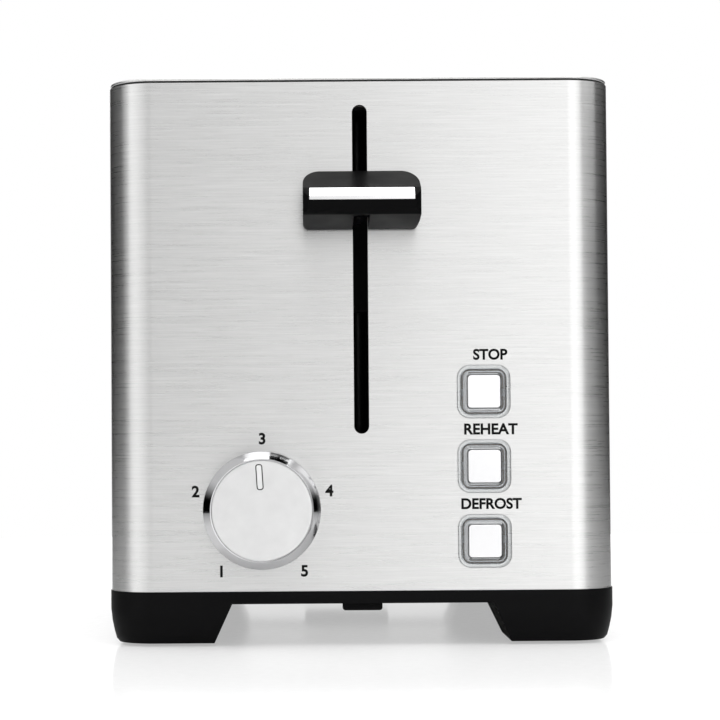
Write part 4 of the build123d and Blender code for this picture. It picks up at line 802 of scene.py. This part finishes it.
@dataclass
class BaseAndTray(Assembly):
    """The black base with its feet, pads and screws, and the crumb tray."""

    pad_radius: float = 8 * MM
    pad_groove: tuple[tuple[float, float], ...] = (
        (1.6 * MM, 0.0), (0.3 * MM, -0.5 * MM), (0.9 * MM, 0.0), (0.3 * MM, 0.5 * MM),
    )

    def build(self) -> None:
        """Build every piece under the body."""
        self.weld("base_frame", "base_moulding", "housing", "satin_black", "black_plastic", 0.35 * MM, 3)
        self.weld("tray_handle", "tray_handle_moulding", "tray", "satin_black", "black_plastic", 0.4 * MM, 3)
        self.weld("push_tab", "tray_push_tab", "tray", "satin_black", "black_plastic", 0.3 * MM, 3)
        self.weld("crumb_tray", "crumb_tray_sheet", "tray", "tray_sheet", "tray_steel", 0.15 * MM, 2)
        self.weld("base_screws", "base_screw_set", "housing", "zinc_plate", "zinc_screws", 0.12 * MM, 2)
        self.pads()

    def pads(self) -> None:
        """Four rubber pads with a ring groove, modelled once and copied."""
        low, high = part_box("foot_pads")
        radius = self.pad_radius
        x, y = low.x + radius, low.y + radius
        profile = [(radius - 0.5 * MM, 0.0), (radius, 0.5 * MM), (radius, high.z)]
        pad = lathe("pad", (x, -y), profile, False, 48)
        with editing(pad):
            choose(pad, Element.FACE, faces_towards(Axis.Y, -1))
            for inset, depth in self.pad_groove:
                bpy.ops.mesh.inset(thickness=inset, depth=depth)
        pad.rotation_euler = (math.pi / 2, 0, 0)
        settle(pad)
        pad.location = (0, 0, 0)
        copies = [pad]
        for shift_x, shift_y in ((1, 0), (0, 1), (1, 1)):
            activate(pad)
            bpy.ops.object.duplicate()
            twin = bpy.context.object
            span = high - low
            twin.location = (shift_x * (span.x - 2 * radius), shift_y * (span.y - 2 * radius), 0)
            copies.append(settle(twin))
        join(copies, "foot_pad_set")
        break_edges(pad, 0.15 * MM, 2)
        self.hang(pad, "housing", "foot_rubber", "foot_rubber", "foot_pads")


@dataclass
class Lever(Assembly):
    """The lever with its chrome strip."""

    def build(self) -> None:
        """Build the lever's two pieces."""
        self.weld("lever_knob", "lever_moulding", "carriage", "lever_black", "lever_plastic", 0.45 * MM, 3)
        self.weld("lever_trim", "lever_chrome_strip", "carriage", "bright_chrome", "chrome", 0.18 * MM, 3)


@dataclass
class Dial(Assembly):
    """The browning dial: chrome skirt, spun face and outlined pointer."""

    pointer_size: tuple[float, float] = (1.7 * MM, 8.2 * MM)
    pointer_inset: float = 1.7 * MM
    pointer_turn: float = 3.5
    outline: float = 0.34 * MM
    rim: float = 0.55 * MM

    def build(self) -> None:
        """Build the dial's pieces."""
        self.low, self.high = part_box("dial_skirt")
        self.middle = (self.low + self.high) / 2
        self.skirt()
        self.face()
        self.finishes.dress(bpy.data.objects["dial_hub"], "heatproof_black")
        self.finishes.dress(bpy.data.objects["pot_shaft"], "spring_steel")

    def skirt(self) -> None:
        """The skirt, with a broad polished bevel round the face."""
        wide = (self.high.x - self.low.x) / 2
        face_low, face_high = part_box("dial_face")
        seat = (face_high.x - face_low.x) / 2
        front, back = self.low.y, self.high.y
        profile = [
            (wide - 0.3 * MM, back),
            (wide, back - 0.4 * MM),
            (wide, front + 3.2 * MM),
            (wide - 0.12 * MM, front + 2.8 * MM),
            (seat + 0.60 * MM, front + 0.40 * MM),
            (seat + 0.35 * MM, front + 0.08 * MM),
            (seat + 0.02 * MM, front + 0.12 * MM),
            (seat + 0.02 * MM, face_high.y),
            (seat - 0.6 * MM, face_high.y + 1.4 * MM),
            (wide - 2.0 * MM, back),
        ]
        piece = lathe("dial_chrome_skirt", (self.middle.x, self.middle.z), profile, True, 128)
        smooth(piece, 50.0)
        # the skirt's darker chrome is painted shade for the dark reflection near the panel
        self.hang(piece, "dial", "painted_shade_chrome", "chrome", "dial_skirt")

    def face(self) -> None:
        """The face disc with a bright rim, a sunk outline and the pointer bar inside it."""
        low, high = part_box("dial_face")
        wide = (high.x - low.x) / 2 - 0.02 * MM
        centre = (self.middle.x, self.middle.z)
        profile = [(wide, high.y), (wide, low.y + 0.25 * MM), (wide - self.rim, low.y)]
        piece = lathe("dial_face_disc", centre, profile, False, 128)
        mark = self.bar("pointer_tool", low.y - 1 * MM, low.y + 0.35 * MM, self.outline)
        carve(piece, mark)
        break_edges(piece, 0.06 * MM, 2)
        self.hang(piece, "dial", "spun_face", "satin_metal", "dial_face")
        pointer = self.bar("dial_pointer_bar", low.y - 0.02 * MM, low.y + 0.4 * MM, 0.0)
        break_edges(pointer, 0.08 * MM, 2)
        self.hang(pointer, "dial", "pointer_white", "satin_metal")
        groove = self.bar("dial_pointer_groove", low.y + 0.30 * MM, low.y + 0.38 * MM, self.outline * 0.98)
        self.hang(groove, "dial", "printed_black", "satin_metal")

    def bar(self, name: str, front: float, back: float, grow: float) -> bpy.types.Object:
        """A rounded bar at the pointer's place, turned with the dial's setting."""
        wide, long = self.pointer_size
        outer = self.middle.z + (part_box("dial_face")[1].z - self.middle.z) - self.pointer_inset
        low = (self.middle.x - wide / 2 - grow, front, outer - long - grow)
        high = (self.middle.x + wide / 2 + grow, back, outer + grow)
        piece = rounded_block(name, low, high, Axis.Y, 0.6 * MM + grow, 5)
        turn = Matrix.Translation(self.middle) @ Matrix.Rotation(
            -math.radians(self.pointer_turn), 4, "Y"
        ) @ Matrix.Translation(-self.middle)
        piece.matrix_world = turn @ piece.matrix_world
        return settle(piece)


@dataclass
class Buttons(Assembly):
    """Three bright push buttons in clear frames."""

    cap_size: float = 11.4 * MM
    cap_radius: float = 1.2 * MM
    ring_size: float = 18.7 * MM
    ring_radius: float = 4.5 * MM
    opening: float = 11.9 * MM
    neck_size: float = 16.2 * MM
    neck_depth: float = 9.0 * MM
    frame_front: float = 0.45 * MM
    frame_steps: tuple[tuple[float, float], ...] = (
        (0.75 * MM, 0.62 * MM), (0.45 * MM, 0.0), (0.40 * MM, -0.55 * MM), (0.55 * MM, 0.0),
        (0.30 * MM, 0.25 * MM),
    )
    body_depth: float = 5.0 * MM
    flange_depth: float = 2.0 * MM
    stem: float = 3.5 * MM

    def build(self) -> None:
        """Build the caps, the clear frames and what shows behind them."""
        self.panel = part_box("outer_shell")[0].y
        for node in BUTTON_NODES:
            self.cap(node)
        self.rings()
        for node, finish in (("ring_leds", "lamp_lens"), ("tact_switches", "component_case")):
            self.finishes.dress(bpy.data.objects[node], finish)

    def cap(self, node: str) -> None:
        """One cap with a flat bright front, a flange and a stem."""
        low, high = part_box(node)
        middle = middle_of(node)
        flange = high.x - low.x
        body_rear = self.panel + self.body_depth
        name = node.removeprefix("button_")
        ends = (low.y, body_rear)
        piece = square_block(f"button_cap_{name}", middle, self.cap_size, ends, self.cap_radius, 6)
        with editing(piece):
            choose(piece, Element.FACE, faces_towards(Axis.Y, 1))
            size = self.cap_size
            stem_depth = high.y - body_rear - self.flange_depth
            for wide, reach in ((flange, self.flange_depth), (self.stem, stem_depth)):
                pull(0)
                centre = (middle.x, body_rear, middle.z)
                bpy.ops.transform.resize(value=(wide / size, 1, wide / size), center_override=centre)
                pull(reach)
                size = wide
        break_edges(piece, 0.28 * MM, 3)
        self.hang(piece, f"{name}_button", "button_bright", "button_chrome", node)

    def rings(self) -> None:
        """Three clear frames with a raised rim, a valley and an inner ledge."""
        frames = join([self.ring(middle_of(node)) for node in BUTTON_NODES], "clear_button_frames")
        break_edges(frames, 0.12 * MM, 2, 25.0)
        self.hang(frames, "housing", "clear_acrylic", "clear_acrylic", "light_rings")

    def ring(self, middle: Vector) -> bpy.types.Object:
        """One clear frame round the point given."""
        front = self.panel - self.frame_front
        piece = square_block("frame", middle, self.ring_size, (front, self.panel), self.ring_radius, 8)
        whole = (self.ring_size - self.opening) / 2
        shoulder = (self.ring_size - self.neck_size) / 2
        rest = whole - sum(inset for inset, _ in self.frame_steps)
        ledge = front - sum(depth for _, depth in self.frame_steps)
        with editing(piece):
            choose(piece, Element.FACE, faces_towards(Axis.Y, -1))
            for inset, depth in (*self.frame_steps, (rest, 0.0)):
                bpy.ops.mesh.inset(thickness=inset, depth=depth)
            pull(self.panel + self.neck_depth - ledge)
            bpy.ops.mesh.delete(type="FACE")
            choose(piece, Element.FACE, faces_towards(Axis.Y, 1))
            bpy.ops.mesh.inset(thickness=shoulder, depth=0.0)
            pull(self.neck_depth)
            bpy.ops.mesh.inset(thickness=whole - shoulder, depth=0.0)
            bpy.ops.mesh.delete(type="FACE")
            bpy.ops.mesh.select_all(action="SELECT")
            bpy.ops.mesh.remove_doubles(threshold=5e-6)
            choose(piece, Element.EDGE, lambda edge: edge.is_boundary)
            if any(edge.is_boundary for edge in bmesh.from_edit_mesh(piece.data).edges):
                bpy.ops.mesh.bridge_edge_loops()
        face_outwards(piece)
        return piece


@dataclass
class Lettering(Assembly):
    """Plain printed numbers round the dial and plain function words over the buttons."""

    number_height: float = 4.1 * MM
    word_height: float = 3.9 * MM
    thickness: float = 0.03 * MM
    boldness: float = 0.048
    size_of_capital: float = 1.4
    number_ring: tuple[tuple[str, float, float], ...] = (
        ("1", -146.0, 25.9), ("2", -74.6, 24.2), ("3", 0.0, 24.7), ("4", 74.6, 24.2), ("5", 146.0, 25.9),
    )
    words: tuple[tuple[str, float], ...] = (("STOP", 12.0), ("REHEAT", 18.7), ("DEFROST", 21.1))
    word_shift: float = 2.4 * MM
    word_rise: float = 13.0 * MM

    def build(self) -> None:
        """Print every number and word on the panel."""
        self.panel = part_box("outer_shell")[0].y
        dial = middle_of("dial_skirt")
        for number, angle, radius in self.number_ring:
            turn = math.radians(angle)
            place = (dial.x + radius * MM * math.sin(turn), dial.z + radius * MM * math.cos(turn))
            self.mark(f"number_{number}", number, place, self.number_height, None)
        for (word, width), node in zip(self.words, BUTTON_NODES):
            middle = middle_of(node)
            place = (middle.x + self.word_shift, middle.z + self.word_rise)
            self.mark(f"word_{word.lower()}", word, place, self.word_height, width * MM)

    def mark(
        self, name: str, body: str, place: tuple[float, float], height: float, width: float | None
    ) -> None:
        """Print one mark, centred on its place.

        Args:
            name: The new piece's name.
            body: The characters.
            place: The mark's centre, as x and z.
            height: How tall a capital is.
            width: How wide the whole mark is, or None to keep the letters' own width.
        """
        bpy.ops.object.text_add(rotation=(math.pi / 2, 0, 0))
        piece = bpy.context.object
        piece.name = name
        piece.data.body = body
        piece.data.size = height * self.size_of_capital
        piece.data.offset = height * self.boldness
        piece.data.extrude = self.thickness / 2
        piece.data.resolution_u = 6
        piece.data.align_x = "CENTER"
        activate(piece)
        bpy.ops.object.convert(target="MESH")
        piece = bpy.context.object
        settle(piece)
        corners = [Vector(corner) for corner in piece.bound_box]
        low = Vector(min(corner[n] for corner in corners) for n in range(3))
        high = Vector(max(corner[n] for corner in corners) for n in range(3))
        tall = height / (high.z - low.z)
        wide = tall if width is None else width / (high.x - low.x)
        middle = (low + high) / 2
        piece.scale = (wide, 1, tall)
        piece.location = (place[0] - middle.x * wide, self.panel - middle.y, place[1] - middle.z * tall)
        settle(piece)
        face_outwards(piece)
        self.hang(piece, "housing", "printed_black", "black_plastic")


@dataclass
class LiftSpring(Assembly):
    """The wound lift spring, which stretches between the housing and the carriage."""

    wire: float = 0.9 * MM
    outer: float = 6.0 * MM
    turns: int = 26
    stem: float = 3.0 * MM
    eye: float = 2.3 * MM

    def build(self) -> None:
        """Wind the spring."""
        low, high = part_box("lift_spring")
        middle = middle_of("lift_spring")
        radius = (self.outer - self.wire) / 2
        eye = self.eye
        bottom = low.z + 2 * eye + self.stem - 1.5 * MM
        top = high.z - self.stem - 2.5 * MM
        pitch = (top - bottom) / self.turns
        bpy.ops.mesh.primitive_circle_add(
            vertices=10, radius=self.wire / 2, location=(radius, 0, 0), rotation=(math.pi / 2, 0, 0),
            fill_type="NOTHING",
        )
        coil = bpy.context.object
        settle(coil)
        add_modifier(
            coil, "SCREW", axis="Z", screw_offset=pitch, iterations=self.turns, steps=20, render_steps=20,
            use_merge_vertices=True,
        )
        with editing(coil):
            choose(coil, Element.EDGE, lambda edge: edge.is_boundary)
            bpy.ops.mesh.fill_holes(sides=0)
        coil.location = (middle.x, middle.y, bottom)
        settle(coil)
        parts = [coil]
        for height, lift in ((bottom - eye + 0.4 * MM, 1), (top + eye - 0.4 * MM, -1)):
            bpy.ops.mesh.primitive_torus_add(
                major_radius=eye - self.wire / 2, minor_radius=self.wire / 2, major_segments=32,
                minor_segments=10, location=(middle.x, middle.y, height), rotation=(math.pi / 2, 0, 0),
            )
            parts.append(settle(bpy.context.object))
        join(parts, "wound_lift_spring")
        face_outwards(coil)
        smooth(coil, 60.0)
        self.finishes.dress(coil, "spring_steel")
        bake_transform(coil)
        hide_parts("lift_spring")
        LOG.info("%s: %d faces", coil.name, len(coil.data.polygons))


@dataclass
class Supply(Assembly):
    """The ribbed gland for the supply cord, and the wires inside."""

    bore: float = 3.3 * MM
    neck: float = 6.0 * MM
    flange: float = 8.5 * MM
    ribs: int = 4

    def build(self) -> None:
        """Turn the gland and dress the wires."""
        low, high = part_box("cord_gland")
        middle = (low + high) / 2
        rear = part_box("outer_shell")[1].y
        wall = 0.6 * MM
        profile = [(self.bore, low.y), (self.neck, low.y), (self.neck, rear - wall - 3 * MM)]
        profile += [(self.flange, rear - wall - 3 * MM), (self.flange, rear - wall), (self.neck, rear - wall)]
        profile += [(self.neck, rear), (self.flange, rear), (self.flange, rear + 1.7 * MM)]
        profile += [(self.flange - 0.9 * MM, rear + 2.5 * MM)]
        span = high.y - rear - 2.5 * MM
        step = span / self.ribs
        for n in range(self.ribs):
            wide = self.neck + 0.2 * MM - n * 0.28 * MM
            start = rear + 2.5 * MM + n * step
            profile += [(wide - 0.8 * MM, start), (wide - 0.8 * MM, start + step * 0.35)]
            profile += [(wide, start + step * 0.5), (wide - 0.1 * MM, start + step * 0.999)]
        profile += [(self.bore + 0.3 * MM, high.y), (self.bore, high.y - 0.3 * MM)]
        piece = lathe("ribbed_gland", (middle.x, middle.z), profile, True, 64)
        break_edges(piece, 0.15 * MM, 2)
        self.hang(piece, "housing", "foot_rubber", "foot_rubber", "cord_gland")
        self.finishes.dress(bpy.data.objects["supply_wires"], "glass_sleeve")


@dataclass
class Works(Assembly):
    """What is inside: the CAD nodes keep their shapes and get their finishes."""

    nodes_of: dict[str, tuple[str, ...]] = field(default_factory=lambda: {
        # painted shade: near-black metal on the front bulkhead and rod bracket, seen through the lever slot
        "painted_shade_steel": ("front_bulkhead", "rod_bracket"),
        "galvanised_sheet": (
            "rear_bulkhead", "chassis_rails", "top_tie_bars", "carriage_plate", "lever_arm",
            "bread_rack_left", "bread_rack_right",
        ),
        "bright_reflector": ("side_reflectors", "centre_divider"),
        "mica_board": ("mica_boards_left", "mica_boards_right"),
        "oxidised_ribbon": ("heating_ribbons_left", "heating_ribbons_right"),
        "plated_wire": ("guard_left_outer", "guard_left_inner", "guard_right_inner", "guard_right_outer"),
        # painted shade: near-black metal on the guide rod, seen through the lever slot
        "painted_shade_rod": ("guide_rod",),
        "heatproof_black": (
            "carriage_slider", "contact_pusher", "contact_block", "dial_bracket", "button_guide",
        ),
        "magnet_iron": ("armature_plate", "magnet_core"),
        "copper_winding": ("magnet_coil",),
        "contact_copper": ("contact_leaves",),
        "paper_laminate": ("control_board", "button_board"),
        "component_case": ("potentiometer", "board_components"),
        "zinc_plate": ("board_screws",),
        "cable_grey": ("ribbon_cable",),
    })

    def build(self) -> None:
        """Dress the inner nodes."""
        for finish, nodes in self.nodes_of.items():
            for node in nodes:
                self.finishes.dress(bpy.data.objects[node], finish)
            LOG.info("inner works: %s on %d nodes", finish, len(nodes))


# ------------------------------------------------------------------ studio
@dataclass
class Studio:
    """Pale floor, soft light and the camera."""

    round_about: tuple[tuple[float, float], ...] = (
        (-180, 0.28), (-165, 0.25), (-150, 0.0), (-100, 0.0), (-86, 0.01), (-74, 0.18), (-62, 0.56),
        (-46, 0.68), (-30, 0.56), (-16, 0.42), (-6, 0.35), (0, 0.50), (5, 0.74), (12, 0.94), (24, 0.98),
        (38, 0.78), (48, 0.27), (60, 0.04), (76, 0.0), (150, 0.0), (165, 0.25), (180, 0.28),
    )
    upwards: tuple[tuple[float, float], ...] = (
        (0.0, 0.45), (0.40, 0.60), (0.47, 0.74), (0.53, 0.92), (0.60, 1.0), (0.75, 0.95), (1.0, 1.0),
    )
    strength: float = 1.9
    flag_fades: float = 0.16
    flag_ends: float = 0.52
    overhead: float = 0.42
    floor_radius: float = 0.75
    glow_from: float = 0.20
    glow_to: float = 0.72
    glow_near: float = 0.42
    glow_far: float = 1.0
    camera_distance: float = 0.700
    camera_x: float = -0.0209
    camera_z: float = 0.0702
    lens: float = 100.25
    shift: tuple[float, float] = (0.080, 0.055)
    yaw: float = -0.022
    pitch: float = 1.288
    roll: float = -0.413

    def build(self) -> None:
        """Set up the whole studio."""
        self.floor()
        self.surroundings()
        self.lamps()
        self.camera()

    def floor(self) -> None:
        """A broad pale floor with a faint polish."""
        bpy.ops.mesh.primitive_circle_add(vertices=128, radius=self.floor_radius, fill_type="NGON")
        floor = bpy.context.object
        floor.name = "floor"
        sheet = Sheet("pale_floor")
        sheet.set(Specular_IOR_Level=0.5, Emission_Color=(1, 1, 1, 1))
        speck = sheet.noise(sheet.place((300.0,) * 3), 2.0)
        sheet.tint(speck, (0.88, 0.88, 0.88), (0.90, 0.90, 0.90))
        sheet.link(self.fade(sheet), sheet.shader.inputs["Emission Strength"])
        sheet.gloss(speck, 0.09, 0.12)
        floor.data.materials.append(sheet.material)
        floor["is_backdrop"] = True

    def fade(self, sheet: Sheet) -> bpy.types.NodeSocket:
        """How brightly the floor shines: a little near the middle, and white further out."""
        place = sheet.place((1.0, 1.0, 1.0))
        reach = sheet.node("ShaderNodeVectorMath", operation="LENGTH")
        sheet.link(place, reach.inputs[0])
        near_far = (self.glow_near, self.glow_far)
        glow = sheet.spread(reach.outputs["Value"], (self.glow_from, self.glow_to), near_far, "SMOOTHSTEP")
        rays = sheet.node("ShaderNodeLightPath")
        seen = sheet.node("ShaderNodeMath", operation="MULTIPLY")
        sheet.link(glow, seen.inputs[0])
        sheet.link(rays.outputs["Is Camera Ray"], seen.inputs[1])
        return seen.outputs["Value"]

    def surroundings(self) -> None:
        """White to the camera; in reflections, soft panels with two dark flags between them."""
        world = bpy.data.worlds.new("soft_studio")
        bpy.context.scene.world = world
        world.use_nodes = True
        nodes = Nodes(world.node_tree)
        nodes.tree.nodes.clear()
        coordinates = nodes.node("ShaderNodeTexCoord")
        parts = nodes.node("ShaderNodeSeparateXYZ")
        nodes.link(coordinates.outputs["Generated"], parts.inputs["Vector"])
        turn = nodes.node("ShaderNodeMath", operation="MULTIPLY")
        turn.inputs[1].default_value = -1.0
        nodes.link(parts.outputs["Y"], turn.inputs[0])
        angle = nodes.node("ShaderNodeMath", operation="ARCTAN2")
        nodes.link(parts.outputs["X"], angle.inputs[0])
        nodes.link(turn.outputs[0], angle.inputs[1])
        share = nodes.node("ShaderNodeMath", operation="MULTIPLY_ADD")
        share.inputs[1].default_value = 1 / (2 * math.pi)
        share.inputs[2].default_value = 0.5
        nodes.link(angle.outputs[0], share.inputs[0])
        stops = [(degrees / 360 + 0.5, level) for degrees, level in self.round_about]
        around = nodes.ramp(share.outputs[0], stops)
        lifted = nodes.spread(parts.outputs["Z"], (-1.0, 1.0))
        above = nodes.ramp(lifted, self.upwards)
        both = nodes.node("ShaderNodeMix", data_type="RGBA", blend_type="MULTIPLY")
        both.inputs["Factor"].default_value = 1.0
        nodes.link(self.above_flags(nodes, parts.outputs["Z"], around), both.inputs["A"])
        nodes.link(above, both.inputs["B"])
        lit = nodes.node("ShaderNodeBackground")
        lit.inputs["Strength"].default_value = self.strength
        nodes.link(both.outputs["Result"], lit.inputs["Color"])
        seen = nodes.node("ShaderNodeBackground")
        seen.inputs["Color"].default_value = (1, 1, 1, 1)
        rays = nodes.node("ShaderNodeLightPath")
        choice = nodes.node("ShaderNodeMixShader")
        nodes.link(rays.outputs["Is Camera Ray"], choice.inputs["Fac"])
        nodes.link(lit.outputs[0], choice.inputs[1])
        nodes.link(seen.outputs[0], choice.inputs[2])
        nodes.link(choice.outputs[0], nodes.node("ShaderNodeOutputWorld").inputs["Surface"])

    def above_flags(
        self, nodes: Nodes, height: bpy.types.NodeSocket, around: bpy.types.NodeSocket
    ) -> bpy.types.NodeSocket:
        """The levels round about, with an even light above the tops of the dark flags."""
        share = nodes.spread(height, (self.flag_fades, self.flag_ends), kind="SMOOTHSTEP")
        mixed = nodes.node("ShaderNodeMix", data_type="RGBA")
        nodes.link(share, mixed.inputs["Factor"])
        nodes.link(around, mixed.inputs["A"])
        mixed.inputs["B"].default_value = (self.overhead, self.overhead, self.overhead, 1)
        return mixed.outputs["Result"]

    def lamps(self) -> None:
        """A large soft panel overhead and one each side."""
        rows = [
            ("overhead", (0.10, -0.35, 1.25), 1.1, 7.0),
            ("left", (-1.3, -0.5, 0.9), 0.9, 1.5),
            ("right", (1.3, -0.5, 0.9), 0.9, 2.5),
            ("behind", (0.0, 1.4, 1.0), 1.2, 8.0),
        ]
        for name, place, size, power in rows:
            bpy.ops.object.light_add(type="AREA", location=place)
            lamp = bpy.context.object
            lamp.name = f"{name}_lamp"
            lamp.data.size = size
            lamp.data.energy = power
            look = Vector((0, 0, 0.08)) - Vector(place)
            lamp.rotation_euler = look.to_track_quat("-Z", "Y").to_euler()

    def camera(self) -> None:
        """The camera in front of the control end, a little left and low."""
        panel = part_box("outer_shell")[0].y
        data = bpy.data.cameras.new("camera")
        data.lens = self.lens
        data.sensor_width = 36.0
        data.shift_x, data.shift_y = self.shift
        camera = bpy.data.objects.new("camera", data)
        bpy.context.scene.collection.objects.link(camera)
        camera.location = (self.camera_x, panel - self.camera_distance, self.camera_z)
        level = Matrix.Rotation(math.pi / 2 + math.radians(self.pitch), 4, "X")
        turn = Matrix.Rotation(math.radians(self.yaw), 4, "Z") @ level
        turn = turn @ Matrix.Rotation(math.radians(self.roll), 4, "Z")
        camera.rotation_euler = turn.to_euler()
        bpy.context.scene.camera = camera


def corners() -> list[list[float]]:
    """The shown object's lowest and highest corners, as plain lists."""
    return [list(corner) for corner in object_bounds()]


def main() -> None:
    """Load the frame, build every assembly round it and set up the studio."""
    logging.basicConfig(level=logging.INFO, format="%(name)s: %(message)s")
    for leftover in list(bpy.data.objects):
        bpy.data.objects.remove(leftover)
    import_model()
    finishes = Finishes(tuple(middle_of("dial_face")))
    for kind in (Housing, BaseAndTray, Lever, Dial, Buttons, Lettering, LiftSpring, Supply, Works):
        kind(finishes).build()
        LOG.info("%s built", kind.__name__)
    Studio().build()
    bpy.context.scene.view_settings.view_transform = "Standard"


if __name__ == "__main__":
    main()
